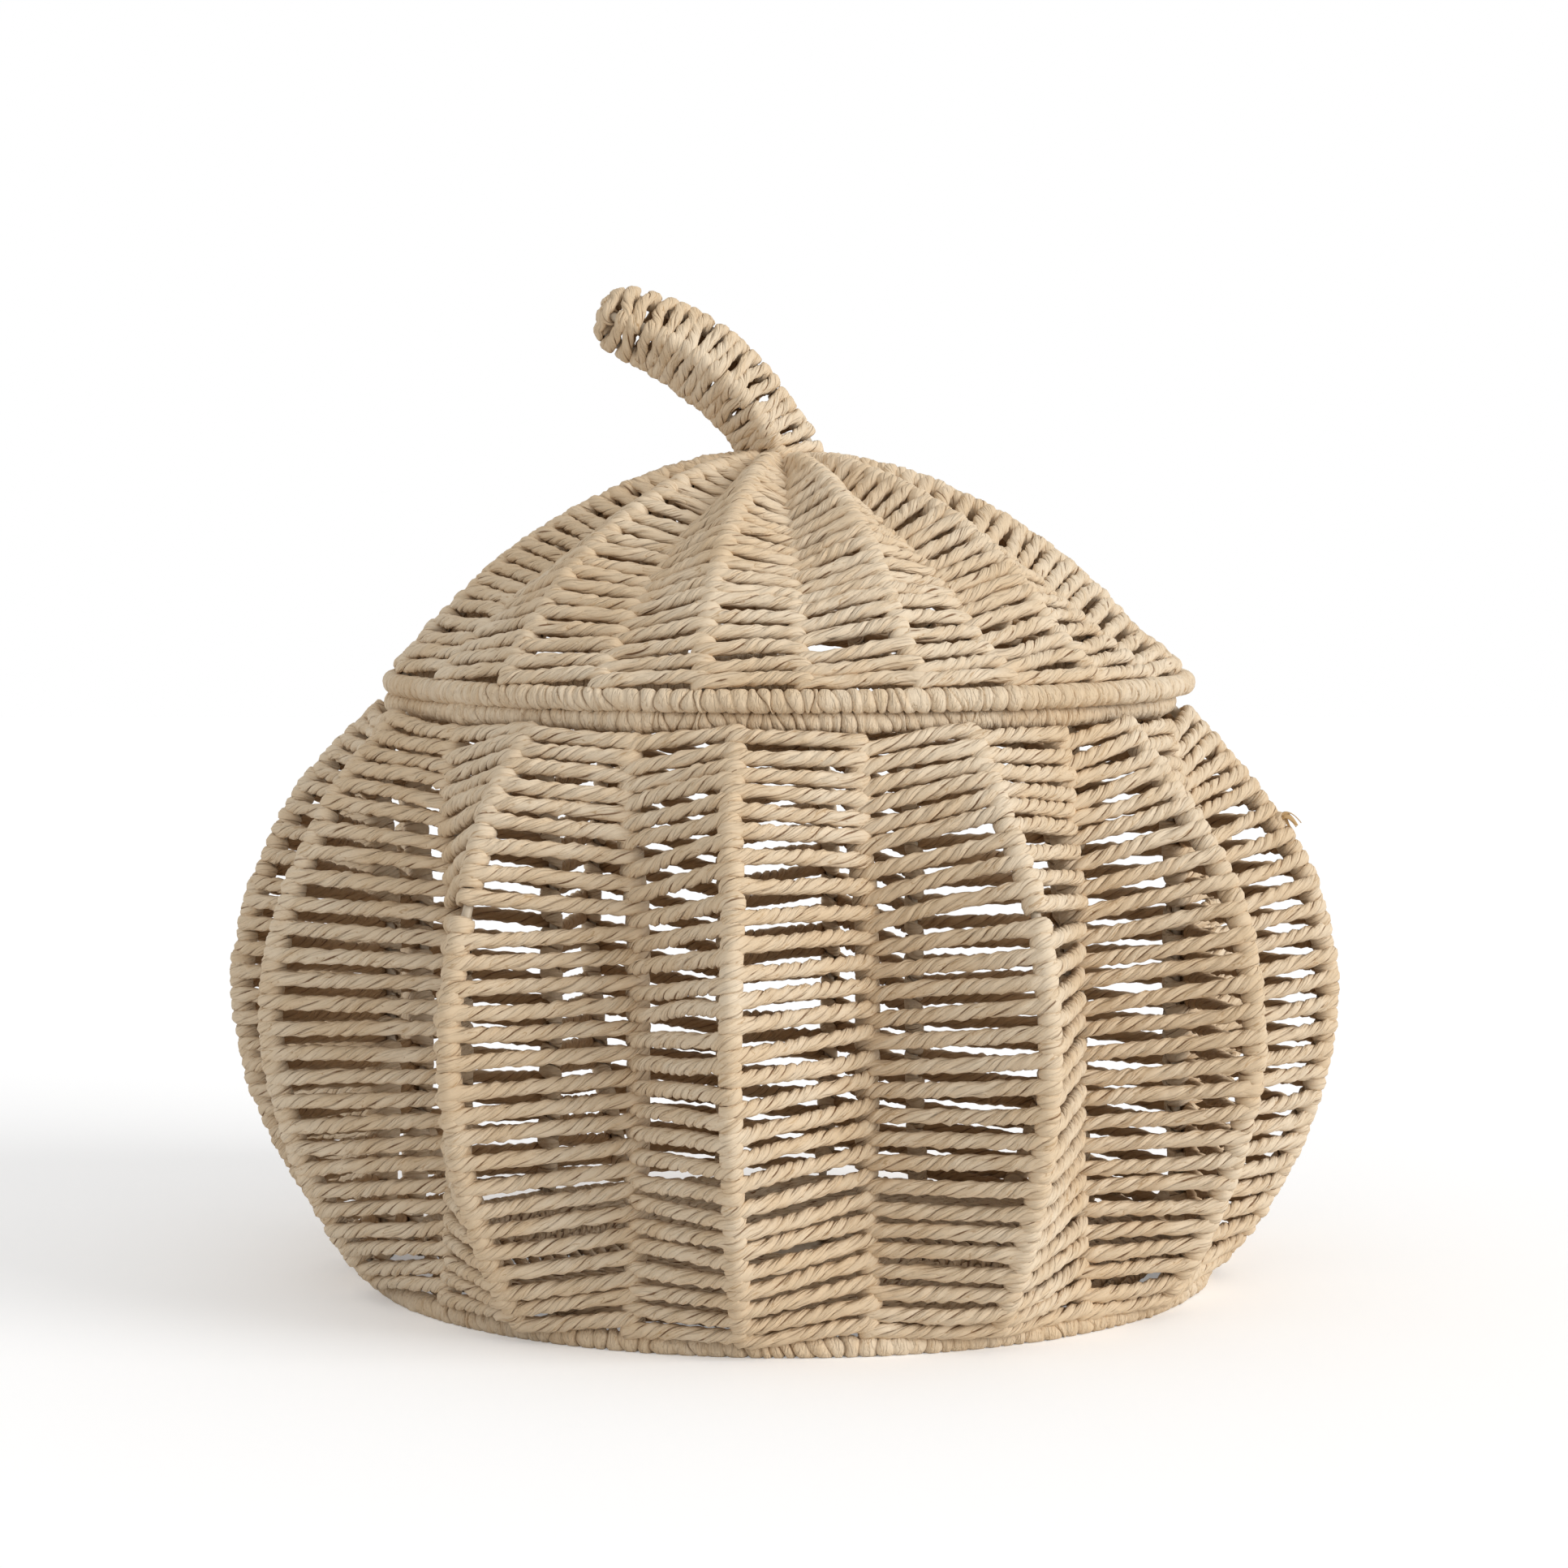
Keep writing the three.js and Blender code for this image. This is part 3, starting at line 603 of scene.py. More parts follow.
wall_path = woven_path(
    *on_ribs(*body_shell, wrap_number, wall_share), ROW_FILL * row_height,
    *(np.where(is_ridge, on_ridge, in_valley) + rng.normal(0, uneven, len(level))
      for on_ridge, in_valley, uneven in zip(RIDGE_REACH, WALL_VALLEY_REACH, WALL_UNEVEN)),
    rng=rng,
)
wall_line = evened(wall_path, CORD_STEP)
wall = cord_pieces(
    [f"wall_weave_{i + 1}" for i in range(WALL_PIECES)], wall_line,
    np.linspace(0, len(wall_line[0]) - 1, WALL_PIECES + 1).astype(int), CORD_RADIUS, rng)
for piece in wall:
    piece.data.materials.append(CORD_FINISH)
    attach(piece, "basket")
    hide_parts("body_wall_weave")


# Frayed cord end
# Where the wall's cord was joined its short end sticks out beside a wire at the right, and its
# paper has come open into narrow strips.
END_WIRE = 18
END_SHARE = 0.243
END_RADIUS = 2.8
END_POINTS = 12
END_STEP = 0.4
END_OUT = (0.3, 3.1)
END_ROUND = (0.6, -1.6)
END_UP = (0.3, -1.6)
STRIP_COUNT = 5
STRIP_RINGS = 14
STRIP_SIDES = 8
STRIP_LENGTHS = (4.6, 6.8)
STRIP_HALF_WIDTH = 1.15
STRIP_HALF_THICKNESS = 0.16
STRIP_TAPER = 0.75
STRIP_BUNDLE = 0.5
STRIP_SPREAD = 0.13
STRIP_STEP = 0.5
STRIP_ROUND = 4.2
STRIP_START = 1.2
STRIP_LEAVE = (0.75, 0.45)
STRIP_SINK = (-0.3, -1.25)
END_TAN = (0.58, 0.385, 0.18, 1)


def paper_strips(name, start, leave, sink, spread, rng):
    """Narrow strips of paper. The middle of each is a parabola that leaves its start along one
    way and sinks along another. The section is a flat oval that turns along it and narrows to
    the tip."""
    t = np.linspace(0, 1, STRIP_RINGS)[None, :, None]
    ways = leave + rng.normal(0, spread, (STRIP_COUNT, 3))
    reach = rng.uniform(*STRIP_LENGTHS, STRIP_COUNT)[:, None, None]
    base = start + rng.normal(0, STRIP_BUNDLE, (STRIP_COUNT, 3))
    centre = base[:, None] + reach * (ways[:, None] * t + sink * t * t)
    way = ways[:, None] + 2 * sink * t
    way = way / np.linalg.norm(way, axis=2, keepdims=True)
    flat = np.cross(way, rng.normal(0, 1, (STRIP_COUNT, 1, 3)))
    flat = flat / np.linalg.norm(flat, axis=2, keepdims=True)
    thin = np.cross(way, flat)
    turn = rng.uniform(-1, 1, STRIP_COUNT)[:, None, None] * t * 2
    flat, thin = (np.cos(turn) * flat + np.sin(turn) * thin,
                  np.cos(turn) * thin - np.sin(turn) * flat)
    angle = (np.arange(STRIP_SIDES) * 2 * math.pi / STRIP_SIDES)[:, None]
    narrow = (1 - STRIP_TAPER * t ** 2)[:, :, None]
    corners = (
        centre[:, :, None]
        + STRIP_HALF_WIDTH * narrow * np.cos(angle) * flat[:, :, None]
        - STRIP_HALF_THICKNESS * np.sin(angle) * thin[:, :, None]
    )
    quads, caps = tube_faces(STRIP_COUNT, STRIP_RINGS, STRIP_SIDES)
    return lay_mesh(name, corners, quads, caps, row_length=STRIP_STEP, round_length=STRIP_ROUND)


rng = np.random.default_rng(5)
end_at, end_along, end_out, end_across = on_ribs(
    *body_shell, np.array([END_WIRE]), np.array([END_SHARE]))
t = np.linspace(0, 1, END_POINTS)[:, None]
stub = (
    end_at
    + end_out * (END_OUT[0] + END_OUT[1] * t)
    + end_across * (END_ROUND[0] + END_ROUND[1] * t)
    + end_along * (END_UP[0] + END_UP[1] * t ** 2)
)
stub_path = np.column_stack([stub, np.tile(end_along, (END_POINTS, 1)), 0 * t, 0 * t])
stub_line = evened(stub_path, END_STEP)
cord_end = cord_pieces(["cord_end_stub"], stub_line, [0, len(stub_line[0]) - 1], END_RADIUS, rng)[0]
frayed = paper_strips(
    "cord_end_strips", start=stub[-1:] + STRIP_START * end_along,
    leave=(STRIP_LEAVE[0] * end_out + STRIP_LEAVE[1] * end_along)[0],
    sink=(STRIP_SINK[0] * end_out + STRIP_SINK[1] * end_along)[0],
    spread=STRIP_SPREAD, rng=rng)
bare_paper = bpy.data.materials.new("torn paper")
bare_paper.use_nodes = True
bare_paper.node_tree.nodes["Principled BSDF"].inputs["Base Color"].default_value = END_TAN
bare_paper.node_tree.nodes["Principled BSDF"].inputs["Roughness"].default_value = 0.7
for piece, finish in ((cord_end, CORD_FINISH), (frayed, bare_paper)):
    piece.data.materials.append(finish)
    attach(piece, "basket")
    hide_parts("body_wall_weave")


# Floor
# Twelve wire spokes welded to a small hub disc, with the same cord wound round every spoke,
# row by row, from the foot ring in to the hub.
SPOKE_HEIGHT = 4.4
SPOKE_START = 8.5
SPOKE_END = 130.6
SPOKE_POINTS = 12
HUB_RADIUS = 10.5
HUB_HALF = 1.0
HUB_EDGE = 0.3
HUB_POLE = 0.02
HUB_SIDES = 48
FLOOR_ROWS = 23
FLOOR_INNER = 15.5
FLOOR_OUTER = 123.5
FLOOR_CORD = 1.75
FLOOR_STEP = 1.9
FLOOR_DROP = 2.3
FLOOR_REACH = 2.55
FLOOR_WAVER = 0.2
FLOOR_ANGLES = np.array([0, 45, 60, 120, 165, 180, 240, 285, 300.0])

spoke_centre = turned(
    np.linspace(SPOKE_START, SPOKE_END, SPOKE_POINTS)[None], SPOKE_HEIGHT, ridge_turns[:, None])
spoke_angle = np.radians(ridge_turns)[:, None]
spoke_across = np.stack([-np.cos(spoke_angle), -np.sin(spoke_angle), 0 * spoke_angle], -1)
spokes = round_tubes(
    "floor_spokes", spoke_centre, np.broadcast_to([0.0, 0.0, 1.0], spoke_centre.shape),
    np.broadcast_to(spoke_across, spoke_centre.shape), WIRE_RADIUS, WIRE_SIDES,
)
hub_outline = np.array([
    (0, -HUB_HALF), (HUB_RADIUS - HUB_EDGE, -HUB_HALF), (HUB_RADIUS, -HUB_HALF + HUB_EDGE),
    (HUB_RADIUS, HUB_HALF - HUB_EDGE), (HUB_RADIUS - HUB_EDGE, HUB_HALF), (0, HUB_HALF),
])
hub_turn = np.arange(HUB_SIDES) * 360 / HUB_SIDES
hub_corners = turned(
    np.maximum(hub_outline[None, :, 0], HUB_POLE), SPOKE_HEIGHT + hub_outline[None, :, 1],
    hub_turn[:, None])
hub_rings = np.swapaxes(hub_corners, 0, 1)[None, :, ::-1]
hub_quads, hub_caps = tube_faces(1, len(hub_outline), len(hub_turn))
hub = lay_mesh("floor_hub", hub_rings, hub_quads, hub_caps)

rng = np.random.default_rng(31)
floor_wrap = np.arange(FLOOR_ROWS * LOBES)
floor_radius = FLOOR_OUTER - (FLOOR_OUTER - FLOOR_INNER) * floor_wrap / (FLOOR_ROWS * LOBES - 1)
floor_azimuth = BODY_PHASE + floor_wrap * 360 / LOBES
floor_along = turned(-np.ones(len(floor_wrap)), 0, floor_azimuth)
floor_out = np.tile([0.0, 0.0, -1.0], (len(floor_wrap), 1))
floor_path = woven_path(
    turned(floor_radius, SPOKE_HEIGHT, floor_azimuth), floor_along, floor_out,
    np.cross(floor_along, floor_out), np.full(len(floor_wrap), FLOOR_DROP),
    reach_in=np.full(len(floor_wrap), FLOOR_REACH), reach_out=np.full(len(floor_wrap), FLOOR_REACH),
    rng=rng, wobble=FLOOR_WAVER,
)
floor_line = evened(floor_path, FLOOR_STEP)
floor_weave = cord_pieces(["floor_weave_cord"], floor_line, [0, len(floor_line[0]) - 1],
                          FLOOR_CORD, rng, angles=FLOOR_ANGLES)[0]
for piece, nodes, finish, slot in (
    (spokes, ["floor_spokes_and_hub"], WIRE_FINISH, "coated_wire"),
    (hub, ["floor_spokes_and_hub"], WIRE_FINISH, "coated_wire"),
    (floor_weave, ["floor_weave"], CORD_FINISH, "paper_cord"),
):
    piece.data.materials.append(finish)
    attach(piece, "basket")
    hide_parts(*nodes)


# Ring bindings of the body
# A flat strip of the same paper, wound close round the foot ring and the mouth ring over the
# rib ends. Each turn swells between the creases where it meets its neighbours.
TURN_SHARES = np.array([0, 0.07, 0.22, 0.42, 0.62, 0.80, 0.94])
BINDING_SIDES = 18
BINDING_REACH = 3.5
BASE_TURNS = 184
RIM_TURNS = 250
TURN_WIDTHS = (0.5, 1.5)
TURN_GROOVES = (0.25, 0.95)
TURN_UNEVEN = (0.5, 0.35, 0.08, 0.08, 0.15, 0.35)
TURN_SWELL = 0.25
GROOVE_WIDTH = 0.13
# Width of the painted shade in the grooves between turns, in shares of a turn.
CREASE_SHADE_REACH = 0.075
LUMP_HEIGHT = 0.9
LUMP_WIDTH = 2.6
STRIP_GRAIN = 0.9
STRIP_GRAIN_ROUND = 0.3


def strip_binding(name, ring, bound, turns, seed, lumps=(), flat_at=None, lean=0.0):
    """A strip wound round a ring. The turn number and the angle round the wire are the two
    parameters. The way round the ring grows with both, so each turn leads into the next. The
    reach from the wire falls at the edges of a turn, by a groove of its own at each edge, and
    rises from one edge to the other where a turn lies over its neighbour."""
    rng = np.random.default_rng(seed)
    widths = rng.uniform(*TURN_WIDTHS, turns)
    edges = np.r_[0, np.cumsum(widths)] / widths.sum() * 360
    per_turn = len(TURN_SHARES)
    inside = np.tile(TURN_SHARES, turns)[:, None]
    n = np.repeat(np.arange(turns), per_turn)[:, None]
    b = (np.arange(BINDING_SIDES) / BINDING_SIDES)[None]
    angle = 2 * math.pi * b

    def turn_edge(k):
        """Azimuth at which turn k starts, counted on past a full round."""
        return edges[k % turns] + 360 * (k // turns)

    def led_on(values, k):
        """The value of turn k, led on to that of the next one as the strip goes round."""
        return values[k % turns] * (1 - b) + values[(k + 1) % turns] * b

    groove = rng.uniform(*TURN_GROOVES, turns)
    sway, shift, dent_a, dent_b, fat, over = (
        rng.normal(0, uneven, turns) for uneven in TURN_UNEVEN)

    def edge_at(k):
        """Azimuth of the edge before turn k, which slants to the next one and sways."""
        straight = turn_edge(k) * (1 - b) + turn_edge(k + 1) * b
        return straight + led_on(sway, k) * np.sin(angle) + led_on(shift, k) * np.cos(angle)

    azimuth = edge_at(n) * (1 - inside) + edge_at(n + 1) * inside
    near, far = led_on(groove, n), led_on(groove, n + 1)
    swell = 1 - np.abs(2 * inside - 1) ** 3
    dent = led_on(dent_a, n) * np.cos(2 * angle) + led_on(dent_b, n) * np.sin(2 * angle)
    lift = led_on(fat, n) + dent + led_on(over, n) * (inside - 0.5)

    def at_edges(width):
        """The two grooves of a turn, each a bell of the given width in shares of the turn."""
        return near * np.exp(-(inside / width) ** 2) + far * np.exp(-((1 - inside) / width) ** 2)

    reach = bound - TURN_SWELL - at_edges(GROOVE_WIDTH) + (TURN_SWELL + lift) * swell
    for lump in lumps:
        off = (azimuth - lump + 180) % 360 - 180
        reach = reach + LUMP_HEIGHT * np.exp(-(off / LUMP_WIDTH) ** 2)
    radius = ring[0] + reach * np.cos(angle)
    height = ring[1] - reach * np.sin(angle)
    if flat_at is not None:
        height = np.maximum(height, flat_at)
    corners = turned(radius, height, azimuth) + np.array([lean, 0, 0])
    rings = turns * per_turn
    ring_index = np.arange(rings)[:, None]
    side = np.arange(BINDING_SIDES)[None]
    last = (side == BINDING_SIDES - 1)
    nextside = np.where(last, 0, side + 1)

    def corner(ring_at, side_at, shifted):
        """Number of a corner; past the last side the strip is one turn further on."""
        return ((ring_at + np.where(shifted, per_turn, 0)) % rings) * BINDING_SIDES + side_at

    zero = np.zeros_like(last)
    quads = np.stack([
        corner(ring_index, side, zero), corner(ring_index, nextside, last),
        corner(ring_index + 1, nextside, last), corner(ring_index + 1, side, zero),
    ], -1)
    grain_reach = STRIP_GRAIN_ROUND * reach
    grain = STRIP_GRAIN * turned(
        ring[0] + grain_reach * np.cos(angle), -grain_reach * np.sin(angle), azimuth)
    strip_width = 2 * math.pi * ring[0] / turns
    # The crease attribute masks painted shade in the grooves between the strip's turns.
    return lay_mesh(
        name, corners, quads, floats={"crease": at_edges(CREASE_SHADE_REACH)}, vectors={"grain": grain},
        row_length=strip_width / per_turn, round_length=2 * math.pi * bound)


BINDING_FINISH = paper_cord(
    "wound paper strip", fold_size=0.75, line_strength=0.6, crease_shade_strength=0.7)
base_binding = strip_binding(
    "base_binding_strip", BASE_RING, BINDING_REACH, BASE_TURNS, seed=41, flat_at=0.0)
rim_binding = strip_binding(
    "body_rim_binding_strip", BODY_RIM, BINDING_REACH, RIM_TURNS, seed=42, lumps=valley_turns,
    lean=BODY_LEAN[0])
for piece, node in ((base_binding, "base_ring_binding"), (rim_binding, "body_rim_binding")):
    piece.data.materials.append(BINDING_FINISH)
    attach(piece, "basket")
    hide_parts(node)


# Lid frame wires
# The same coated wire: a rim ring, twelve ridge ribs over the dome, and a small crown ring with
# the twelve valley ribs welded to it.
LID_PHASE = -12.5
LID_RIM = (126.0, 190.2)
CROWN_RING = (11.0, 258.8)
CROWN_SIDES = 48
LID_RIDGE = [
    LID_RIM, (109.1, 208.3), (91.3, 226), (69.5, 240.9), (43.2, 252.4), (23.6, 257.6), CROWN_RING,
]
LID_VALLEY = [
    LID_RIM, (116.5, 197.5), (97, 212.8), (75.4, 227.2), (43.2, 242.6), (23.6, 251.0), CROWN_RING,
]
LID_LEAN = (-2.8, 1.0, 0.85)
LID_SET = [
    0.3, 0.3, 0.3, 0.3, 0.3, 0.3, 0.3, -1.5, -3, 0, 0.6, 1.2, 1.1, 0, 1.0, -0.3, 0.3, 0.3, 0.3, 0.3,
    0.3, 0.3, 0.3, 0.3,
]
LID_BULGE = [0, 0, 0, 0, 0, 0, -3, -1.5, -2.5, 0, 0, 0, 0, 0, 0, 0, 0, 0, -1, 0, 0, 0, 0, 0]
lid_ridge = smooth_outline(LID_RIDGE)
lid_valley = smooth_outline(LID_VALLEY)
lid_shell = ((lid_ridge, lid_valley), LID_PHASE, LID_SET, LID_BULGE, LID_LEAN)
for piece, nodes in (
    (rib_wires("lid_ridge_wires", lid_shell, ridges), numbered("lid_ridge_rib")),
    (rib_wires("lid_valley_wires", lid_shell, valleys), ["lid_crown_and_valley_ribs"]),
    (ring_wire("lid_crown_wire", *CROWN_RING, CROWN_SIDES, LID_LEAN[0]),
     ["lid_crown_and_valley_ribs"]),
    (ring_wire("lid_rim_wire", *LID_RIM), ["lid_rim_ring"]),
):
    piece.data.materials.append(WIRE_FINISH)
    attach(piece, "lid")
    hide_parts(*nodes)


# Lid weave
# The same cord wound the same way over the lid's wires, twenty-two rounds from the crown down to
# the rim. The first ones, at the foot of the stem, are pressed flat and close.
LID_ROWS = 22.05
LID_LEVELS = [0, 0.5, 1.5, 2.6, 4.9, 7.2, 9.4, 11.5, 13.5, 15.5, 16.5, 17.5, 18.5, 19.5, 20.5, 21.5, 22]
LID_SHARES = [
    0.010, 0.020, 0.058, 0.100, 0.201, 0.306, 0.427, 0.519, 0.608, 0.689, 0.724, 0.769, 0.818, 0.869,
    0.916, 0.959, 0.965,
]
LID_CORD = 2.26
LID_FLAT = 0.16
LID_PLY_TURN = 19.0
LOOSE_WANDER = 1.4
LOOSE_DEPTH = (0.46, 0.52)
LID_PIECES = 3
LID_VALLEY_REACH = (3.7, 3.0)
LID_UNEVEN = (0.24, 0.20)
LID_ROW_UNEVEN = 0.0014
CLOSE_SPACING = 9.5
LEAST_SQUEEZE = 0.5
CLOSE_FROM = 78
CLOSE_OVER = 30
CLOSE_PRESS = 0.9
CLOSE_FLAT = 0.16
CROWN_EDGE = 22.0

rng = np.random.default_rng(19)
lid_wrap = np.arange(int(LID_ROWS * WIRES))
lid_level = lid_wrap / WIRES
lid_share = np.interp(lid_level, LID_LEVELS, LID_SHARES)
lid_row = np.gradient(lid_share, lid_level) * lid_ridge[-1, 0]
lid_share = lid_share + rng.normal(0, LID_ROW_UNEVEN, len(lid_level))
stations = on_ribs(*lid_shell, lid_wrap, lid_share)
lid_spacing = 2 * math.pi * np.hypot(stations[0][:, 0], stations[0][:, 1]) / WIRES
squeeze = np.clip(lid_spacing / CLOSE_SPACING, LEAST_SQUEEZE, 1)
is_ridge = lid_wrap % 2 == 0
ahead = np.where(is_ridge, 1, squeeze)
lid_path = woven_path(
    *stations, ROW_FILL * lid_row,
    *(ahead * (np.where(is_ridge, on_ridge, in_valley) + rng.normal(0, uneven, len(lid_level)))
      for on_ridge, in_valley, uneven in zip(RIDGE_REACH, LID_VALLEY_REACH, LID_UNEVEN)),
    rng=rng, side_reach=SIDE_REACH * squeeze,
)


def from_crown(points):
    """Distance of each point from the upright line through the middle of the crown."""
    return np.hypot(points[:, 0] - LID_LEAN[0], points[:, 1])


close = np.clip((CLOSE_FROM - from_crown(lid_path)) / CLOSE_OVER, 0, 1)
lid_path[:, 6] = np.maximum(lid_path[:, 6], CLOSE_PRESS * close)
lid_path[:, 7] = np.maximum(lid_path[:, 7], LID_FLAT + CLOSE_FLAT * close)
lid_line = evened(lid_path, CORD_STEP)
crown_end = int(np.argmax(from_crown(lid_line[1]) > CROWN_EDGE))
lid_cord = cord_pieces(
    ["crown_wrap_cord"] + [f"lid_weave_cord_{i + 1}" for i in range(LID_PIECES)], lid_line,
    [0, *np.linspace(crown_end, len(lid_line[0]) - 1, LID_PIECES + 1).astype(int)],
    LID_CORD, rng, ply_turn=LID_PLY_TURN, wander=LOOSE_WANDER, depth=LOOSE_DEPTH)
for number, piece in enumerate(lid_cord):
    piece.data.materials.append(CORD_FINISH)
    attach(piece, "lid")
    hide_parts("lid_weave" if number else "crown_wrap")


# Lid rim binding
# The same paper strip, wound round the lid's rim ring in wider turns and a little thicker than
# the one on the mouth, so that the lid rests on the body by it.
LID_BINDING_REACH = 3.6
LID_TURNS = 205

lid_binding = strip_binding(
    "lid_rim_binding_strip", LID_RIM, LID_BINDING_REACH, LID_TURNS, seed=43)
lid_binding.data.materials.append(BINDING_FINISH)
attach(lid_binding, "lid")
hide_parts("lid_rim_binding")


# Stem hoops
# Two hoops of the same wire stand crosswise on the crown ring, run up the curved stem as its
# four legs and close over its tip.
STEM_AXIS = np.array([(-2, 0, 257.8), (-5.5, 0, 275), (-26, 0, 295.5), (-50.5, 0, 303.8)])
STEM_OFFSET = 8.5
STEM_FOOT_RISE = -2.6
STEM_STEP = 1.5
AXIS_SAMPLES = 400
AXIS_ROWS = 200
TIP_REACH = 8.6
TIP_ANGLES = np.radians(np.arange(10, 86, 15))


def stem_axis_table():
    """The cubic Bezier axis of the stem at even arc steps, with its direction."""
    t = np.linspace(0, 1, AXIS_SAMPLES)[:, None]
    a, b, c, d = STEM_AXIS
    path = (1 - t) ** 3 * a + 3 * (1 - t) ** 2 * t * b + 3 * (1 - t) * t ** 2 * c + t ** 3 * d
    arc = np.r_[0, np.cumsum(np.linalg.norm(np.diff(path, axis=0), axis=1))]
    even = np.linspace(0, arc[-1], AXIS_ROWS)
    path = np.stack([np.interp(even, arc, column) for column in path.T], 1)
    ways = np.gradient(path, even, axis=0)
    return even, path, ways / np.linalg.norm(ways, axis=1)[:, None]


stem_arc, stem_middle, stem_ways = stem_axis_table()
STEM_LENGTH = stem_arc[-1]


def on_stem(reach, height, way_reach, way_height, quarter):
    """Points and directions told as reach from the stem's axis and height along it, set in
    space on the side that faces the given quarter."""
    held = np.clip(height, 0, STEM_LENGTH)
    centre = np.stack([np.interp(held, stem_arc, column) for column in stem_middle.T], -1)
    way = np.stack([np.interp(held, stem_arc, column) for column in stem_ways.T], -1)
    centre = centre + way * (height - held)[..., None]
    front = np.array([0.0, -1.0, 0.0])
    side = np.cross(np.broadcast_to(front, way.shape), way)
    angle = np.asarray(quarter) * math.pi / 2
    facing = np.cos(angle)[..., None] * side + np.sin(angle)[..., None] * front
    point = centre + facing * reach[..., None]
    along = facing * way_reach[..., None] + way * way_height[..., None]
    out = facing * way_height[..., None] - way * way_reach[..., None]
    return point, along, out


STEM_LEG = np.array(
    [(CROWN_RING[0], STEM_FOOT_RISE), (9.4, 9), (STEM_OFFSET, 15), (STEM_OFFSET + 0.5, 28),
     (STEM_OFFSET + 0.9, 45), (STEM_OFFSET - 0.4, STEM_LENGTH - 3)]
    + [((STEM_OFFSET - 0.8) * math.cos(angle), STEM_LENGTH + TIP_REACH * math.sin(angle))
       for angle in TIP_ANGLES]
    + [(0.05, STEM_LENGTH + TIP_REACH)]
)
stem_leg = smooth_outline(STEM_LEG)


def stem_hoop(name, quarter):
    """One hoop: up the leg at the quarter, over the tip and down the leg opposite."""
    arc = np.arange(0, stem_leg[-1, 0], STEM_STEP)
    up = along_outline(stem_leg, arc)
    there = on_stem(*up, np.full(len(arc), quarter))
    back = on_stem(*[p[::-1] for p in up], np.full(len(arc), quarter + 2))
    centre = np.concatenate([there[0], back[0]])
    along = np.concatenate([there[1], -back[1]])
    out = np.concatenate([there[2], back[2]])
    across = np.cross(along, out)
    return round_tubes(name, centre[None], out[None], across[None], WIRE_RADIUS, WIRE_SIDES)


for piece, node in (
    (stem_hoop("stem_hoop_side_wire", 0), "stem_hoop_side"),
    (stem_hoop("stem_hoop_front_wire", 1), "stem_hoop_front"),
):
    piece.data.materials.append(WIRE_FINISH)
    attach(piece, "lid")
    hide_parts(node)


# Stem winding
# A softer, flatter length of the cord. It closes the tip in small rounds, then runs down to the
# crown, wound once round each of the stem's four legs in turn.
# The stem's own copy of the cord's material is darker, with stronger fold lines and crease shade:
# partly its finer folds, partly painted shade.
STEM_SHADED_FINISH = paper_cord("stem paper cord", fold_size=0.48, line_strength=0.9, crease_shade_strength=1.0)
STEM_CORD = 1.76
STEM_FLAT = 0.28
STEM_TURN = 16.0
STEM_LEVELS = [0, 1.4, 4.1, 10.8, 19.9]
STEM_RUN = [1.0, 6.5, 20.0, 47.0, 0.2]
STEM_ROW_UNEVEN = 0.45
STEM_DROP = 1.1
STEM_REACH = (3.1, 2.9)
STEM_UNEVEN = 0.2
STEM_SIDE_REACH = 2.2
STEM_WAVER = 0.55
STEM_DEPTH = (0.6, 0.4)
STEM_CORD_STEP = 0.9
TIGHT_WITHIN = 5.0
LEAST_TIGHT = 0.35

rng = np.random.default_rng(14)
stem_wrap = np.arange(int(STEM_LEVELS[-1] * 4) + 1)
stem_top = stem_leg[-1, 0]
stem_run = np.interp(stem_wrap / 4, STEM_LEVELS,
                     [*(stem_top - np.array(STEM_RUN[:-1])), STEM_RUN[-1]])
stem_at = along_outline(stem_leg, stem_run + rng.normal(0, STEM_ROW_UNEVEN, len(stem_wrap)))
point, along, out = on_stem(*stem_at, stem_wrap % 4)
tight = np.clip(stem_at[0] / TIGHT_WITHIN, LEAST_TIGHT, 1)
stem_path = woven_path(
    point, along, out, np.cross(along, out), np.full(len(stem_wrap), STEM_DROP),
    *((reach + rng.normal(0, STEM_UNEVEN, len(tight))) * tight for reach in STEM_REACH),
    rng=rng, wobble=STEM_WAVER, side_reach=STEM_SIDE_REACH * tight,
)
stem_path[:, 7] = np.maximum(stem_path[:, 7], STEM_FLAT)
stem_line = evened(stem_path, STEM_CORD_STEP)
stem_cord = cord_pieces(
    ["stem_winding_cord"], stem_line, [0, len(stem_line[0]) - 1], STEM_CORD, rng,
    ply_turn=STEM_TURN, wander=LOOSE_WANDER, depth=STEM_DEPTH)[0]
stem_cord.data.materials.append(STEM_SHADED_FINISH)
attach(stem_cord, "lid")
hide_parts("stem_winding")


# Studio
# A white floor under an even white sky, a large soft key light low from the right and front, and
# the camera at the photograph's height, looking slightly down.
CAMERA_PLACE = (-0.0016, -1.250, 0.252)
CAMERA_PITCH = 85.64
LENS = 89.6
AMBIENT = 0.64
KEY_STRENGTH = 1.7
KEY_SOFTNESS = math.radians(35)
KEY_TURN = (math.radians(69), 0, math.radians(64))
FLOOR_HALF = 3
FLOOR_WHITE = (0.93, 0.93, 0.93, 1)
FLOOR_GLOW = 0.25

camera = bpy.data.objects.new("camera", bpy.data.cameras.new("camera"))
camera.data.lens = LENS
camera.data.sensor_width = 36
camera.location = CAMERA_PLACE
camera.rotation_euler = (math.radians(CAMERA_PITCH), 0, 0)
bpy.context.scene.collection.objects.link(camera)
bpy.context.scene.camera = camera

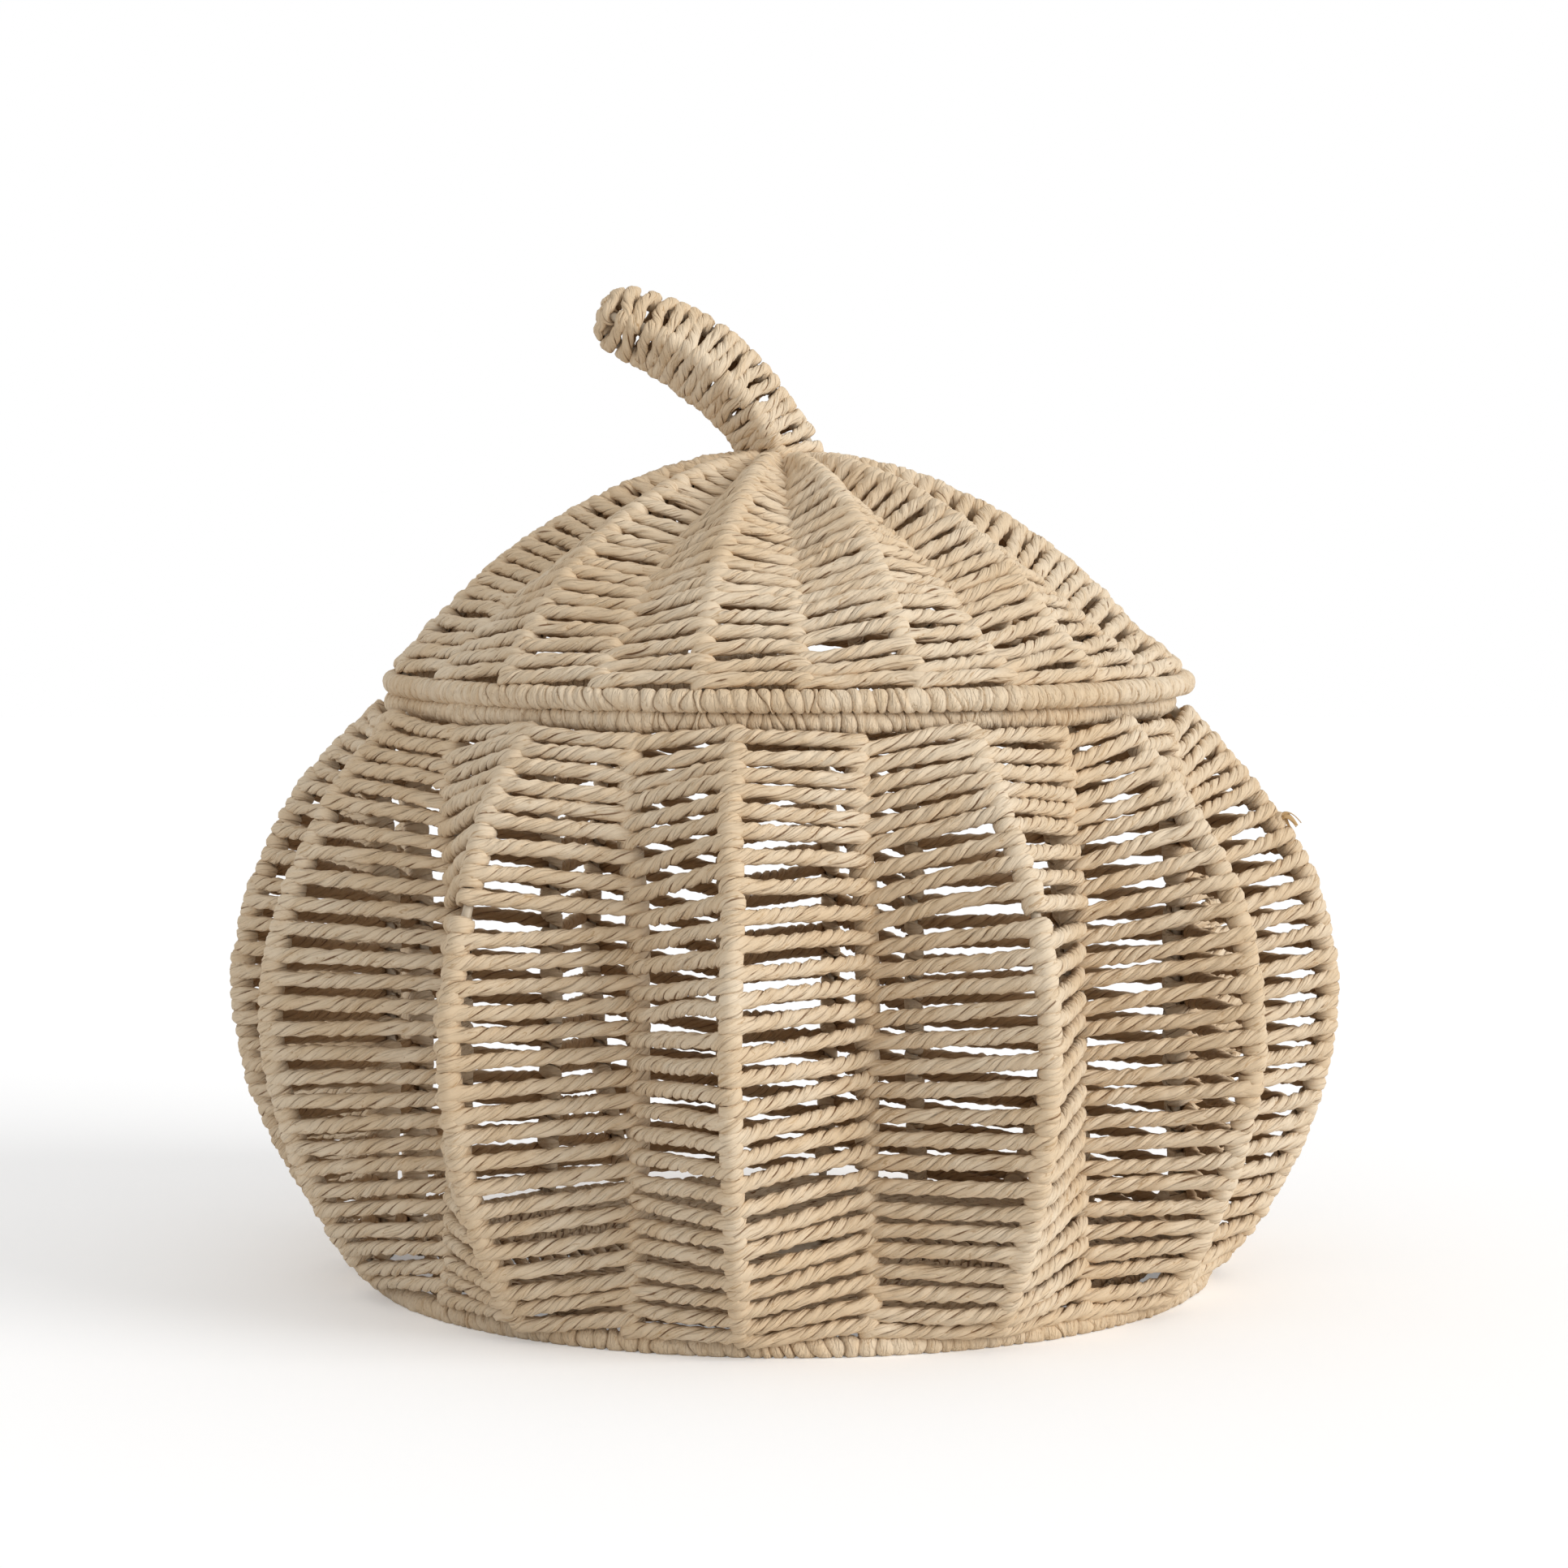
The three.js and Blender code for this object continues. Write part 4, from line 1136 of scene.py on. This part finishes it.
key = bpy.data.objects.new("key light", bpy.data.lights.new("key light", "SUN"))
key.data.energy = KEY_STRENGTH
key.data.angle = KEY_SOFTNESS
key.rotation_euler = KEY_TURN
bpy.context.scene.collection.objects.link(key)


def seen_directly(tree):
    """A value of one for rays from the camera, gloss or clear material, their three flags
    added and held at one."""
    path = tree.nodes.new("ShaderNodeLightPath")
    total = path.outputs["Is Camera Ray"]
    for name in ("Is Glossy Ray", "Is Transmission Ray"):
        node = tree.nodes.new("ShaderNodeMath")
        node.operation = "ADD"
        node.use_clamp = True
        tree.links.new(total, node.inputs[0])
        tree.links.new(path.outputs[name], node.inputs[1])
        total = node.outputs[0]
    return total


world = bpy.data.worlds.new("studio")
bpy.context.scene.world = world
world.use_nodes = True
tree = world.node_tree
light = tree.nodes["Background"]
level_mix = tree.nodes.new("ShaderNodeMix")
level_mix.inputs["A"].default_value = AMBIENT
level_mix.inputs["B"].default_value = 1.0
tree.links.new(seen_directly(tree), level_mix.inputs["Factor"])
tree.links.new(level_mix.outputs["Result"], light.inputs["Strength"])
light.inputs["Color"].default_value = (1, 1, 1, 1)

floor_mesh = bpy.data.meshes.new("floor")
floor_mesh.from_pydata(
    [(x * FLOOR_HALF, y * FLOOR_HALF, 0) for x, y in ((-1, -1), (1, -1), (1, 1), (-1, 1))],
    [], [(0, 1, 2, 3)])
floor = bpy.data.objects.new("floor", floor_mesh)
bpy.context.scene.collection.objects.link(floor)
paper = bpy.data.materials.new("white floor")
paper.use_nodes = True
tree = paper.node_tree
shader = tree.nodes["Principled BSDF"]
shader.inputs["Base Color"].default_value = FLOOR_WHITE
shader.inputs["Roughness"].default_value = 0.9
shader.inputs["Specular IOR Level"].default_value = 0.0
shader.inputs["Emission Color"].default_value = (1, 1, 1, 1)
glow = tree.nodes.new("ShaderNodeMath")
glow.operation = "MULTIPLY"
glow.inputs[1].default_value = FLOOR_GLOW
tree.links.new(seen_directly(tree), glow.inputs[0])
tree.links.new(glow.outputs[0], shader.inputs["Emission Strength"])
floor_mesh.materials.append(paper)

bpy.context.scene.view_settings.view_transform = "Standard"
